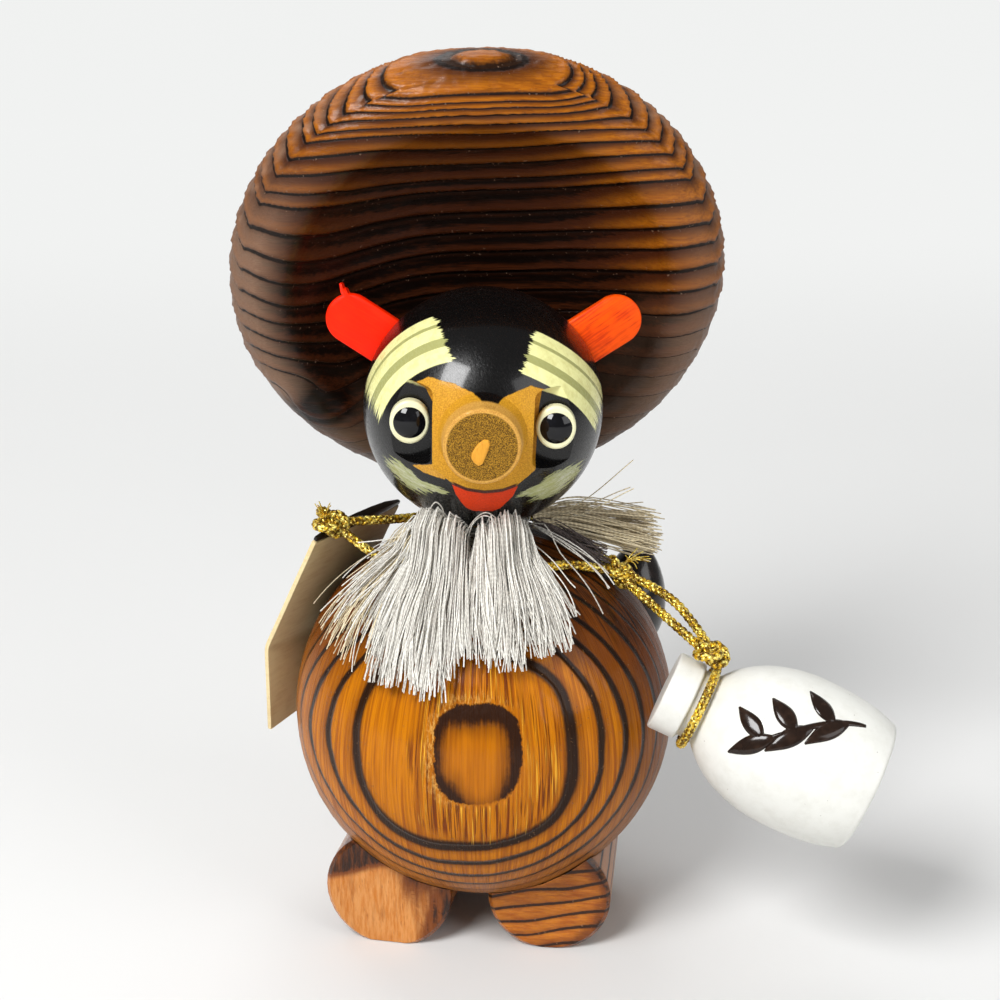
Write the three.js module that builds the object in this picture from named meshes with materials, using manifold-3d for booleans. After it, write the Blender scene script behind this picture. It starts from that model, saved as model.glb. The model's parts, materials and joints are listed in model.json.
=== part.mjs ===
// A folk tanuki ornament of turned cedar: ball body and ball head, dished hat, dowel feet, a thread beard, and a gold
// cord round the neck that carries a white flask and a thin ledger sheet.
// Millimetres. +X is the viewer's right, +Y points away from the viewer, +Z is up.
import * as THREE from "three";
import { mergeVertices } from "three/addons/utils/BufferGeometryUtils.js";
import Module from "manifold-3d";

// Body, head and neck
const BODY_DIAMETER = 74.4;
const BODY_ABOVE_FLOOR = 6.8;
const HEAD_DIAMETER = 45.5;
const NECK_GAP = 2.2;
const FACE_ROLL = 2.3;
const SEAT_GAP = 0.3;

// Snout and eyes
const NOSE_DIAMETER = 12.8;
const NOSE_CHAMFER = 0.7;
const NOSE_LENGTH = 4.4;
const SNOUT_FLARE = 5.2;
const NOSE_LIFT = 0.9;
const SNOUT_WIDTH = 18.4;
const SOCKET_WIDTH = 9.4;
const SOCKET_HEIGHT = 15;
const SOCKET_LIFT = 1.9;
const SOCKET_BACK = 15.4;
const EYE_WIDTH = 7.3;
const EYE_HEIGHT = 8.3;
const EYE_THICKNESS = 2;
const EYE_FROM_SNOUT = 0.5;
const PUPIL_DIAMETER = 5.9;
const PUPIL_RISE = 1.1;

// Ears
const EAR_WIDTH = 9.6;
const EAR_THICKNESS = 2;
const EAR_REACH = 11.9;
const EAR_ROOT = 4;
const EAR_ANGLES = { left: 29.5, right: 33.5 };
const EAR_SET_BACK = 2;
const EAR_TURN = 8;

// Hat
const HAT_DIAMETER = 95;
const HAT_LIP_RADIUS = 8;
const HAT_HOLLOW_BELOW_LIP = 9.8;
const HAT_HOLLOW_RISE = 4.6;
const HAT_DOME_BACK = 12.5;
const HAT_LIFT = 15.4;
const HAT_SEAT_DEPTH = 0.6;
const HAT_NOD = 18.8;
const HAT_TURN = 3.7;

// Feet
const FOOT_LENGTH = 30;
const FOOT_AXIS_HEIGHT = 11.2;
const FOOT_EDGE = 0.8;
const FOOT_PEG_ALONG = 18;
const FEET = [
  { side: "left", diameter: 25.2, x: -19, y: -17.5, turn: -11.5 },
  { side: "right", diameter: 24.2, x: 12.8, y: -19.7, turn: -6.3 },
];

// Tail
const TAIL_DIAMETER = 14.5;
const TAIL_LENGTH = 25;
const TAIL_POLAR = 77;
const TAIL_AZIMUTH = 35;
const TAIL_LEAN_OUT = 9;

// Pegs
const NECK_PEG_DIAMETER = 8;
const NECK_PEG_DEPTH = 10;
const HAT_PEG_DIAMETER = 6;
const HAT_PEG_DEPTH = 6;
const FOOT_PEG_DIAMETER = 6;
const FOOT_PEG_IN_BODY = 7;
const FOOT_PEG_FROM_FLOOR = 1.2;
const TAIL_PEG_DIAMETER = 4;
const TAIL_PEG_DEPTH = 6;
const PEG_CLEARANCE = 0.3;

// Threads
const COLLAR_RADIUS = 9.2;
const THREAD_GAP = 0.4;
const BEARD_LOCKS = [
  { name: "beard_left", side: -1, from: 15, to: 62, rootSpread: 34, tipSpread: 20, rootWidth: 11, tipWidth: 21 },
  { name: "beard_right", side: 1, from: 15, to: 53, rootSpread: 34, tipSpread: 20, rootWidth: 11, tipWidth: 18.5 },
];
const BEARD_THICKNESS = 3.4;
const BEARD_TIP_THICKNESS = 1.2;
const TUFT_RIGHT_LENGTH = 25.5;
const TUFT_RIGHT_HEIGHT = 8.8;
const TUFT_LEFT_TO = 49;

// Gold cord
const CORD_DIAMETER = 1.8;
const KNOT_RADIUS = 2.3;
const KNOT_TIGHTNESS = 0.92;
const KNOT_SINK = 0.25;
const CORD_GAP = 0.3;
const CORD_STEP = 0.05;
const SHOULDER_KNOT_POLAR = 42;
const SHOULDER_KNOT_AZIMUTH = -6;
const SLING_BOW = 3.2;

// Flask
const FLASK_LENGTH = 42;
const FLASK_MOUTH_DIAMETER = 15.4;
const FLASK_LIP_LENGTH = 5.4;
const FLASK_NECK_DIAMETER = 13.4;
const FLASK_NECK_LENGTH = 3;
const FLASK_WIDEST_DIAMETER = 29.6;
const FLASK_BASE_DIAMETER = 26;
const FLASK_EDGE = 1.2;
const FLASK_DIRECTION = [0.9, -0.2, -0.385];
const FLASK_MOUTH_POLAR = 72;
const FLASK_MOUTH_AZIMUTH = -32;

// Ledger
const LEDGER_WIDTH = 26;
const LEDGER_THICKNESS = 1;
const LEDGER_UPPER = 29;
const LEDGER_LOWER = 18;
const LEDGER_ABOVE_CONTACT = 21;
const LEDGER_BEYOND_CONTACT = 22.6;
const LEDGER_AZIMUTH = 144.4;
const LEDGER_LEAN = 27.7;
const LEDGER_TWIST = 9;
const LEDGER_BEND_RADIUS = 5;
const BINDING_HEIGHT = 1.9;
const BINDING_THICKNESS = 1.7;

// Facets
const BALL_SEGMENTS = 48;
const TURNED_SEGMENTS = 48;
const DOWEL_SEGMENTS = 40;
const PEG_SEGMENTS = 20;
const CORD_SIDES = 8;

const wasm = await Module();
wasm.setup();

const rad = THREE.MathUtils.degToRad;
const vec = (x, y, z) => new THREE.Vector3(x, y, z);
const UP = vec(0, 0, 1);

const bodyRadius = BODY_DIAMETER / 2;
const headRadius = HEAD_DIAMETER / 2;
const cordRadius = CORD_DIAMETER / 2;
const bodyCentre = vec(0, 0, BODY_ABOVE_FLOOR + bodyRadius);
const headCentre = vec(0, 0, bodyCentre.z + bodyRadius + NECK_GAP + headRadius);

// A unit vector from the angle below the vertical and the angle round it, from +X towards +Y, in degrees
function direction(polar, azimuth) {
  const p = rad(polar);
  const a = rad(azimuth);
  return vec(Math.sin(p) * Math.cos(a), Math.sin(p) * Math.sin(a), Math.cos(p));
}

// A closed geometry as a solid that can be joined and cut
function solid(geometry) {
  const bare = geometry.index ? geometry.toNonIndexed() : geometry.clone();
  for (const name of Object.keys(bare.attributes)) {
    if (name !== "position") {
      bare.deleteAttribute(name);
    }
  }
  const merged = mergeVertices(bare, 1e-4);
  const vertProperties = merged.attributes.position.array;
  const triVerts = new Uint32Array(merged.index.array);
  return new wasm.Manifold(new wasm.Mesh({ numProp: 3, vertProperties, triVerts }));
}

// A solid back as a geometry
function geometryOf(made) {
  const mesh = made.getMesh();
  const geometry = new THREE.BufferGeometry();
  geometry.setAttribute("position", new THREE.BufferAttribute(mesh.vertProperties, 3));
  geometry.setIndex(new THREE.BufferAttribute(mesh.triVerts, 1));
  geometry.computeVertexNormals();
  return geometry;
}

// A ball with its poles on the vertical
function ball(radius, centre = vec(0, 0, 0)) {
  const geometry = new THREE.SphereGeometry(radius, BALL_SEGMENTS, BALL_SEGMENTS / 2);
  geometry.rotateX(Math.PI / 2);
  return geometry.translate(centre.x, centre.y, centre.z);
}

// A round bar between two points
function bar(from, to, radius, segments = PEG_SEGMENTS) {
  const along = to.clone().sub(from);
  const geometry = new THREE.CylinderGeometry(radius, radius, along.length(), segments);
  geometry.applyQuaternion(new THREE.Quaternion().setFromUnitVectors(vec(0, 1, 0), along.clone().normalize()));
  const middle = from.clone().add(to).multiplyScalar(0.5);
  return geometry.translate(middle.x, middle.y, middle.z);
}

// A round profile turned about the vertical, from a list of [radius, height]
function turned(profile, segments = TURNED_SEGMENTS) {
  const points = profile.map(([r, z]) => new THREE.Vector2(Math.max(r, 0), z));
  const geometry = new THREE.LatheGeometry(points, segments);
  return geometry.rotateX(Math.PI / 2);
}

// A cord of round section along a smooth curve through the points
function cord(points, diameter, steps) {
  const section = new THREE.Shape();
  for (let i = 0; i < CORD_SIDES; i += 1) {
    const a = (2 * Math.PI * i) / CORD_SIDES;
    const x = (diameter / 2) * Math.cos(a);
    const y = (diameter / 2) * Math.sin(a);
    if (i === 0) {
      section.moveTo(x, y);
    } else {
      section.lineTo(x, y);
    }
  }
  section.closePath();
  const extrudePath = new THREE.CatmullRomCurve3(points, false, "centripetal");
  return new THREE.ExtrudeGeometry(section, { steps, extrudePath, bevelEnabled: false });
}

// A closed skin over rings of points, with flat ends
function skin(rings) {
  const count = rings[0].length;
  const middle = (ring) => ring.reduce((sum, p) => sum.add(p), vec(0, 0, 0)).multiplyScalar(1 / count);
  const points = [...rings.flat(), middle(rings[0]), middle(rings[rings.length - 1])];
  const first = points.length - 2;
  const last = points.length - 1;
  const faces = [];
  for (let i = 0; i < count; i += 1) {
    const j = (i + 1) % count;
    for (let r = 0; r < rings.length - 1; r += 1) {
      const a = r * count;
      const b = a + count;
      faces.push(a + i, a + j, b + j, a + i, b + j, b + i);
    }
    const end = (rings.length - 1) * count;
    faces.push(first, j, i, last, end + i, end + j);
  }
  const geometry = new THREE.BufferGeometry();
  geometry.setAttribute("position", new THREE.Float32BufferAttribute(points.flatMap((p) => p.toArray()), 3));
  geometry.setIndex(faces);
  return geometry;
}

// The finishes
const finish = (color, roughness, metalness = 0) => new THREE.MeshStandardMaterial({ color, roughness, metalness });
const finishes = {
  cedar: finish(0xb0702a, 0.45),
  scorched: finish(0x3a1c0c, 0.4),
  lacquer: finish(0x14100e, 0.2),
  cream: finish(0xe6e2b8, 0.4),
  pupil: finish(0x0a0a0c, 0.12),
  vermilion: finish(0xe8381a, 0.45),
  thread: finish(0xe4e0da, 0.7),
  taupe: finish(0xa39a8a, 0.7),
  gold: finish(0xc79a22, 0.35, 0.8),
  white: finish(0xf2f1ec, 0.45),
  card: finish(0xcdb07a, 0.6),
  black: finish(0x15120f, 0.4),
  peg: finish(0xcaa472, 0.7),
};

const figure = new THREE.Group();

// Adds one named piece to a group
function add(group, name, geometry, material) {
  const mesh = new THREE.Mesh(geometry, material);
  mesh.name = name;
  group.add(mesh);
  return mesh;
}

// Hat: its frame has the turning axis as +Z, out of the hollow towards the viewer
const hatAxis = vec(
  Math.sin(rad(HAT_TURN)) * Math.cos(rad(HAT_NOD)),
  -Math.cos(rad(HAT_TURN)) * Math.cos(rad(HAT_NOD)),
  -Math.sin(rad(HAT_NOD)),
);
const hatUp = UP.clone().addScaledVector(hatAxis, -hatAxis.z).normalize();
const lipCentre = HAT_DIAMETER / 2 - HAT_LIP_RADIUS;
const hollowBottom = HAT_LIP_RADIUS - HAT_HOLLOW_BELOW_LIP;
const hollowEdge = lipCentre - HAT_LIP_RADIUS * 0.8;
const hollowAt = (r) => hollowBottom + HAT_HOLLOW_RISE * (r / hollowEdge) ** 2;
const headAboveHat = hollowAt(HAT_LIFT) + headRadius - HAT_SEAT_DEPTH;
const hatCentre = headCentre.clone().addScaledVector(hatAxis, -headAboveHat).addScaledVector(hatUp, HAT_LIFT);
const hatFrame = new THREE.Group();
const hatSide = new THREE.Vector3().crossVectors(hatUp, hatAxis);
hatFrame.applyMatrix4(new THREE.Matrix4().makeBasis(hatSide, hatUp, hatAxis).setPosition(hatCentre));
hatFrame.updateMatrixWorld(true);
const headInHat = hatFrame.worldToLocal(headCentre.clone());

function hatProfile() {
  const path = new THREE.Path();
  const back = rad(-75);
  const inner = rad(128);
  path.moveTo(0, -HAT_DOME_BACK);
  const backEnd = [lipCentre + HAT_LIP_RADIUS * Math.cos(back), HAT_LIP_RADIUS * Math.sin(back)];
  const backTurn = backEnd[0] + ((backEnd[1] + HAT_DOME_BACK) * Math.sin(back)) / Math.cos(back);
  path.quadraticCurveTo(backTurn, -HAT_DOME_BACK, backEnd[0], backEnd[1]);
  path.absarc(lipCentre, 0, HAT_LIP_RADIUS, back, inner, false);
  path.quadraticCurveTo(hollowEdge * 0.62, hollowBottom, 0, hollowBottom);
  return path.getPoints(6).map((p) => [p.x, p.y]);
}

const headSeat = ball(headRadius + SEAT_GAP, headInHat);
const hatPegFrom = headInHat.clone().add(vec(0, 0, -headRadius + HAT_PEG_DEPTH));
const hatPegTo = headInHat.clone().add(vec(0, 0, -headRadius - HAT_PEG_DEPTH));
const hatPegHole = bar(hatPegFrom, hatPegTo.clone().add(vec(0, 0, -PEG_CLEARANCE)), HAT_PEG_DIAMETER / 2 + PEG_CLEARANCE);
const hatSolid = solid(turned(hatProfile())).subtract(solid(headSeat)).subtract(solid(hatPegHole));
add(hatFrame, "hat", geometryOf(hatSolid), finishes.scorched);
add(hatFrame, "hat_peg", bar(hatPegFrom, hatPegTo, HAT_PEG_DIAMETER / 2), finishes.peg);
figure.add(hatFrame);

// Head: a ball and its snout turned in one, with an eye socket on each side of the snout
const headFrame = new THREE.Group();
headFrame.position.copy(headCentre);
const faceFrame = new THREE.Group();
faceFrame.rotation.y = rad(FACE_ROLL);
headFrame.add(faceFrame);
figure.add(headFrame);

function snout() {
  const tip = headRadius + NOSE_LENGTH;
  const noseRadius = NOSE_DIAMETER / 2;
  const path = new THREE.Path();
  path.moveTo(0, headRadius * 0.3);
  path.lineTo(noseRadius + SNOUT_FLARE, headRadius * 0.3);
  path.lineTo(noseRadius + SNOUT_FLARE, headRadius * 0.72);
  path.quadraticCurveTo(noseRadius + NOSE_CHAMFER, headRadius * 0.9, noseRadius + NOSE_CHAMFER, tip - NOSE_CHAMFER);
  path.lineTo(noseRadius, tip);
  path.lineTo(0, tip);
  const geometry = turned(path.getPoints(6).map((p) => [p.x, p.y]), DOWEL_SEGMENTS);
  geometry.rotateX(Math.PI / 2);
  return geometry.translate(0, 0, NOSE_LIFT);
}

// The outline of a socket seen from the front: straight beside the snout, round on the outer side
function socketOutline(side, grow) {
  const inner = SNOUT_WIDTH / 2 - grow;
  const outer = SNOUT_WIDTH / 2 + SOCKET_WIDTH + grow;
  const half = SOCKET_HEIGHT / 2 + grow;
  const shape = new THREE.Shape();
  const middle = inner + (outer - inner) * 0.42;
  shape.moveTo(side * inner, SOCKET_LIFT - half * 0.78);
  shape.quadraticCurveTo(side * inner, SOCKET_LIFT - half, side * middle, SOCKET_LIFT - half);
  shape.quadraticCurveTo(side * outer, SOCKET_LIFT - half * 0.9, side * outer, SOCKET_LIFT);
  shape.quadraticCurveTo(side * outer, SOCKET_LIFT + half * 0.9, side * middle, SOCKET_LIFT + half);
  shape.quadraticCurveTo(side * inner, SOCKET_LIFT + half, side * inner, SOCKET_LIFT + half * 0.78);
  shape.closePath();
  return shape;
}

function socketCut(side) {
  const depth = headRadius + NOSE_LENGTH;
  const geometry = new THREE.ExtrudeGeometry(socketOutline(side, 0), { depth, bevelEnabled: false, curveSegments: 7 });
  geometry.rotateX(Math.PI / 2);
  return geometry.translate(0, -SOCKET_BACK, 0);
}

// An ear: a flat slab with a round end, let into the ball
function earSlab(grow) {
  const half = EAR_WIDTH / 2 + grow;
  const length = EAR_REACH + EAR_ROOT - EAR_WIDTH / 2;
  const shape = new THREE.Shape();
  shape.moveTo(-grow, -half);
  shape.lineTo(length, -half);
  shape.absarc(length, 0, half, -Math.PI / 2, Math.PI / 2, false);
  shape.lineTo(-grow, half);
  shape.closePath();
  const depth = EAR_THICKNESS + 2 * grow;
  const geometry = new THREE.ExtrudeGeometry(shape, { depth, bevelEnabled: false, curveSegments: 10 });
  return geometry.translate(headRadius - EAR_ROOT, 0, -depth / 2);
}

function earPlace(side) {
  const stand = new THREE.Matrix4().makeRotationX(Math.PI / 2);
  const turn = new THREE.Matrix4().makeRotationZ(rad(EAR_TURN));
  const tilt = new THREE.Matrix4().makeRotationY(rad(side < 0 ? -EAR_ANGLES.left : -EAR_ANGLES.right));
  const mirror = new THREE.Matrix4().makeRotationZ(side < 0 ? Math.PI : 0);
  const turnBack = side < 0 ? turn.clone().invert() : turn;
  const shift = new THREE.Matrix4().makeTranslation(0, EAR_SET_BACK, 0);
  return shift.multiply(mirror).multiply(tilt).multiply(turnBack).multiply(stand);
}

const faceTurn = new THREE.Matrix4().makeRotationY(rad(FACE_ROLL));
const neckHole = bar(vec(0, 0, -headRadius - 1), vec(0, 0, -headRadius + NECK_PEG_DEPTH + PEG_CLEARANCE), NECK_PEG_DIAMETER / 2 + PEG_CLEARANCE);
const hatHoleEnd = hatPegFrom.clone().add(vec(0, 0, PEG_CLEARANCE)).applyMatrix4(hatFrame.matrixWorld).sub(headCentre);
const hatHoleOut = hatPegTo.clone().applyMatrix4(hatFrame.matrixWorld).sub(headCentre);
const hatHoleInHead = bar(hatHoleEnd, hatHoleOut, HAT_PEG_DIAMETER / 2 + PEG_CLEARANCE);
let headSolid = solid(ball(headRadius)).add(solid(snout().applyMatrix4(faceTurn)));
for (const side of [-1, 1]) {
  headSolid = headSolid.subtract(solid(socketCut(side).applyMatrix4(faceTurn)));
  headSolid = headSolid.subtract(solid(earSlab(SEAT_GAP).applyMatrix4(earPlace(side)).applyMatrix4(faceTurn)));
}
headSolid = headSolid.subtract(solid(neckHole)).subtract(solid(hatHoleInHead));
add(headFrame, "head", geometryOf(headSolid), finishes.lacquer);

// Eyes: cream discs on the sockets' floors, each with a black dome
const eyePlace = SNOUT_WIDTH / 2 + EYE_FROM_SNOUT + EYE_WIDTH / 2;
for (const [name, side] of [["left", -1], ["right", 1]]) {
  const disc = new THREE.CylinderGeometry(EYE_WIDTH / 2, EYE_WIDTH / 2, EYE_THICKNESS, DOWEL_SEGMENTS);
  disc.scale(1, 1, EYE_HEIGHT / EYE_WIDTH);
  const front = -SOCKET_BACK - SEAT_GAP - EYE_THICKNESS;
  const eye = add(faceFrame, `eye_${name}`, disc, finishes.cream);
  eye.position.set(side * eyePlace, front + EYE_THICKNESS / 2, SOCKET_LIFT);
  const domeRadius = ((PUPIL_DIAMETER / 2) ** 2 + PUPIL_RISE ** 2) / (2 * PUPIL_RISE);
  const dome = [[0, 0], [PUPIL_DIAMETER / 2, 0]];
  for (let i = 1; i <= 5; i += 1) {
    const z = (PUPIL_RISE * i) / 5;
    dome.push([Math.sqrt(Math.max(domeRadius ** 2 - (z + domeRadius - PUPIL_RISE) ** 2, 0)), z]);
  }
  const pupil = add(faceFrame, `pupil_${name}`, turned(dome, 28).rotateX(Math.PI / 2), finishes.pupil);
  pupil.position.set(side * eyePlace, front - SEAT_GAP, SOCKET_LIFT);
  const ear = earSlab(0).applyMatrix4(earPlace(side));
  add(faceFrame, `ear_${name}`, ear, finishes.vermilion);
}

// Body: a ball drilled for the pegs
const tailRoot = direction(TAIL_POLAR, TAIL_AZIMUTH);
const tailAxis = tailRoot.clone().setZ(0).normalize().multiplyScalar(Math.sin(rad(TAIL_LEAN_OUT)));
tailAxis.z = Math.cos(rad(TAIL_LEAN_OUT));
const tailBase = bodyCentre.clone().addScaledVector(tailRoot, bodyRadius);
const tailPegFrom = tailBase.clone().addScaledVector(tailRoot, -TAIL_PEG_DEPTH);
const tailPegTo = tailBase.clone().addScaledVector(tailRoot, TAIL_DIAMETER * 0.22);
const neckPegTop = headCentre.z - headRadius + NECK_PEG_DEPTH;
const neckPegLow = bodyCentre.z + bodyRadius - NECK_PEG_DEPTH;
const footPlace = (foot) => new THREE.Matrix4().makeRotationZ(rad(foot.turn)).setPosition(foot.x, foot.y, 0);
const footPeg = (foot, grow) => {
  const low = vec(0, FOOT_PEG_ALONG, 0).applyMatrix4(footPlace(foot));
  const ballBottom = bodyCentre.z - Math.sqrt(bodyRadius ** 2 - low.x ** 2 - low.y ** 2);
  const high = vec(low.x, low.y, ballBottom + FOOT_PEG_IN_BODY + grow);
  return bar(low.setZ(FOOT_PEG_FROM_FLOOR - grow), high, FOOT_PEG_DIAMETER / 2 + grow);
};
let bodySolid = solid(ball(bodyRadius, bodyCentre));
bodySolid = bodySolid.subtract(
  solid(bar(vec(0, 0, neckPegLow - PEG_CLEARANCE), vec(0, 0, neckPegTop), NECK_PEG_DIAMETER / 2 + PEG_CLEARANCE)),
);
const tailHoleEnd = tailPegFrom.clone().addScaledVector(tailRoot, -PEG_CLEARANCE);
bodySolid = bodySolid.subtract(solid(bar(tailHoleEnd, tailPegTo, TAIL_PEG_DIAMETER / 2 + PEG_CLEARANCE)));
for (const foot of FEET) {
  bodySolid = bodySolid.subtract(solid(footPeg(foot, PEG_CLEARANCE)));
}
add(figure, "body", geometryOf(bodySolid), finishes.cedar);
add(figure, "neck_peg", bar(vec(0, 0, neckPegLow), vec(0, 0, neckPegTop), NECK_PEG_DIAMETER / 2), finishes.peg);

// Feet: short dowels lying front to back, flattened underneath and hollowed to the ball on top
function footDowel(foot) {
  const radius = foot.diameter / 2;
  const profile = [
    [0, 0],
    [radius - FOOT_EDGE, 0],
    [radius, FOOT_EDGE],
    [radius, FOOT_LENGTH - FOOT_EDGE],
    [radius - FOOT_EDGE, FOOT_LENGTH],
    [0, FOOT_LENGTH],
  ];
  const geometry = turned(profile, DOWEL_SEGMENTS).rotateX(-Math.PI / 2);
  return geometry.translate(0, 0, FOOT_AXIS_HEIGHT).applyMatrix4(footPlace(foot));
}
for (const foot of FEET) {
  const below = new THREE.BoxGeometry(4 * FOOT_LENGTH, 4 * FOOT_LENGTH, FOOT_LENGTH).translate(0, 0, -FOOT_LENGTH / 2);
  const footSolid = solid(footDowel(foot))
    .subtract(solid(below))
    .subtract(solid(ball(bodyRadius + SEAT_GAP, bodyCentre)))
    .subtract(solid(footPeg(foot, PEG_CLEARANCE)));
  add(figure, `foot_${foot.side}`, geometryOf(footSolid), finishes.cedar);
  add(figure, `foot_peg_${foot.side}`, footPeg(foot, 0), finishes.peg);
}

// Tail: an egg on end behind the right shoulder, hollowed to the ball
const tailProfile = [];
for (let i = 0; i <= 14; i += 1) {
  const t = i / 14;
  const radius = (TAIL_DIAMETER / 2) * Math.sin(Math.PI * t ** 0.85) ** 0.6;
  tailProfile.push([i === 0 || i === 14 ? 0 : radius, TAIL_LENGTH * (t - 0.28)]);
}
const tailGeometry = turned(tailProfile, 32);
tailGeometry.applyQuaternion(new THREE.Quaternion().setFromUnitVectors(UP, tailAxis));
tailGeometry.translate(tailBase.x, tailBase.y, tailBase.z);
const tailHoleTo = tailPegTo.clone().addScaledVector(tailRoot, PEG_CLEARANCE);
const tailSolid = solid(tailGeometry)
  .subtract(solid(ball(bodyRadius + SEAT_GAP, bodyCentre)))
  .subtract(solid(bar(tailHoleEnd, tailHoleTo, TAIL_PEG_DIAMETER / 2 + PEG_CLEARANCE)));
add(figure, "tail", geometryOf(tailSolid), finishes.lacquer);
add(figure, "tail_peg", bar(tailPegFrom, tailPegTo, TAIL_PEG_DIAMETER / 2), finishes.peg);

// Thread collar: fills the wedge between head and body round the neck peg
const collarInner = NECK_PEG_DIAMETER / 2 + THREAD_GAP;
const underHead = (r) => headCentre.z - Math.sqrt((headRadius + THREAD_GAP) ** 2 - r ** 2);
const overBody = (r) => bodyCentre.z + Math.sqrt((bodyRadius + THREAD_GAP) ** 2 - r ** 2);
const collarProfile = [];
for (let i = 0; i <= 4; i += 1) {
  const r = collarInner + ((COLLAR_RADIUS - collarInner) * i) / 4;
  collarProfile.push([r, overBody(r)]);
}
for (let i = 4; i >= 0; i -= 1) {
  const r = collarInner + ((COLLAR_RADIUS - collarInner) * i) / 4;
  collarProfile.push([r, underHead(r)]);
}
collarProfile.push(collarProfile[0]);
add(figure, "thread_collar", turned(collarProfile, 24), finishes.thread);

// Gold cord: two runs round the neck, on the ball's shoulders
const onBody = (polar, azimuth, above) =>
  bodyCentre.clone().addScaledVector(direction(polar, azimuth), bodyRadius + above);
const cordAbove = cordRadius + SEAT_GAP;
const ledgerNormal = direction(90 - LEDGER_LEAN, LEDGER_AZIMUTH);
const ledgerAcross = direction(90, LEDGER_AZIMUTH - 90);
const ledgerDown = new THREE.Vector3().crossVectors(ledgerNormal, ledgerAcross);
const ledgerContact = bodyCentre.clone().addScaledVector(ledgerNormal, bodyRadius + SEAT_GAP + LEDGER_THICKNESS / 2);
const ledgerCorner = ledgerContact.clone()
  .addScaledVector(ledgerDown, -LEDGER_ABOVE_CONTACT)
  .addScaledVector(ledgerAcross, -LEDGER_BEYOND_CONTACT);
const bindingTop = BINDING_HEIGHT + SEAT_GAP;
const knotThick = KNOT_RADIUS / 2 + cordRadius * KNOT_TIGHTNESS;
const knotAcross = KNOT_RADIUS * 1.5 + cordRadius * KNOT_TIGHTNESS;
const ledgerKnot = ledgerCorner.clone()
  .addScaledVector(ledgerDown, -bindingTop - CORD_GAP - knotThick + KNOT_SINK)
  .addScaledVector(ledgerAcross, knotAcross * 0.6);
const shoulderKnot = onBody(SHOULDER_KNOT_POLAR, SHOULDER_KNOT_AZIMUTH, knotThick + SEAT_GAP);

// An overhand knot lying flat on the plane square to the given direction
function knot(centre, square) {
  const geometry = new THREE.TorusKnotGeometry(KNOT_RADIUS, cordRadius * KNOT_TIGHTNESS, 42, 6, 2, 3);
  geometry.applyQuaternion(new THREE.Quaternion().setFromUnitVectors(UP, square));
  return geometry.translate(centre.x, centre.y, centre.z);
}

// The end of a run, drawn in towards a knot until it lies the cord's gap from it
function besideKnot(knotGeometry, centre, towards) {
  const tied = solid(knotGeometry);
  const way = towards.clone().sub(centre).normalize();
  const at = (reach) => centre.clone().addScaledVector(way, reach);
  const stub = (reach) => solid(bar(at(reach), at(reach + CORD_DIAMETER), cordRadius, CORD_SIDES));
  let reach = knotAcross + CORD_DIAMETER;
  while (reach > cordRadius && stub(reach - CORD_STEP).minGap(tied, 2 * knotAcross) > CORD_GAP) {
    reach -= CORD_STEP;
  }
  return at(reach);
}

const shoulderKnotShape = knot(shoulderKnot, direction(SHOULDER_KNOT_POLAR, SHOULDER_KNOT_AZIMUTH));
const ledgerKnotShape = knot(ledgerKnot, ledgerDown.clone().negate());
add(figure, "shoulder_knot", shoulderKnotShape, finishes.gold);
add(figure, "ledger_knot", ledgerKnotShape, finishes.gold);

const frontRun = [
  onBody(31, -158, cordAbove + 1),
  onBody(26, -125, cordAbove),
  onBody(24, -90, cordAbove),
  onBody(26, -55, cordAbove),
  onBody(30, -28, cordAbove),
];
const backRun = [
  onBody(23, 170, cordAbove + 3.2),
  onBody(21, 130, cordAbove + 0.6),
  onBody(21, 90, cordAbove),
  onBody(23, 55, cordAbove),
  onBody(30, 24, cordAbove),
];
for (const [name, run] of [["neck_cord_front", frontRun], ["neck_cord_back", backRun]]) {
  const start = besideKnot(ledgerKnotShape, ledgerKnot, run[0]);
  const end = besideKnot(shoulderKnotShape, shoulderKnot, run[run.length - 1]);
  add(figure, name, cord([start, ...run, end], CORD_DIAMETER, 26), finishes.gold);
}

// Beard: two locks of thread that drape over the ball's front
function beardLock(lock) {
  const inner = bodyRadius + CORD_DIAMETER + 2 * SEAT_GAP + THREAD_GAP;
  const rows = 9;
  const points = 14;
  const rings = [];
  for (let r = 0; r <= rows; r += 1) {
    const t = r / rows;
    const polar = rad(lock.from + (lock.to - lock.from) * t);
    const bulge = Math.sin(Math.PI * Math.min(1, 0.25 + t)) ** 0.5;
    const thick = BEARD_TIP_THICKNESS + (BEARD_THICKNESS - BEARD_TIP_THICKNESS) * Math.max(bulge, 0);
    const half = (lock.rootWidth + (lock.tipWidth - lock.rootWidth) * t ** 0.8) / 2;
    const ease = t ** 0.6;
    const spread = rad(lock.rootSpread + (lock.tipSpread - lock.rootSpread) * ease);
    const ring = [];
    for (let k = 0; k < points; k += 1) {
      const a = (2 * Math.PI * k) / points;
      const radial = inner + (thick / 2) * (1 + Math.sin(a));
      const azimuth = lock.side * spread + (half * Math.cos(a)) / (radial * Math.sin(polar));
      const flat = radial * Math.sin(polar);
      const spot = vec(flat * Math.sin(azimuth), -flat * Math.cos(azimuth), radial * Math.cos(polar));
      ring.push(spot.add(bodyCentre));
    }
    rings.push(ring);
  }
  return skin(rings);
}
for (const lock of BEARD_LOCKS) {
  add(figure, lock.name, beardLock(lock), finishes.thread);
}

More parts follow.
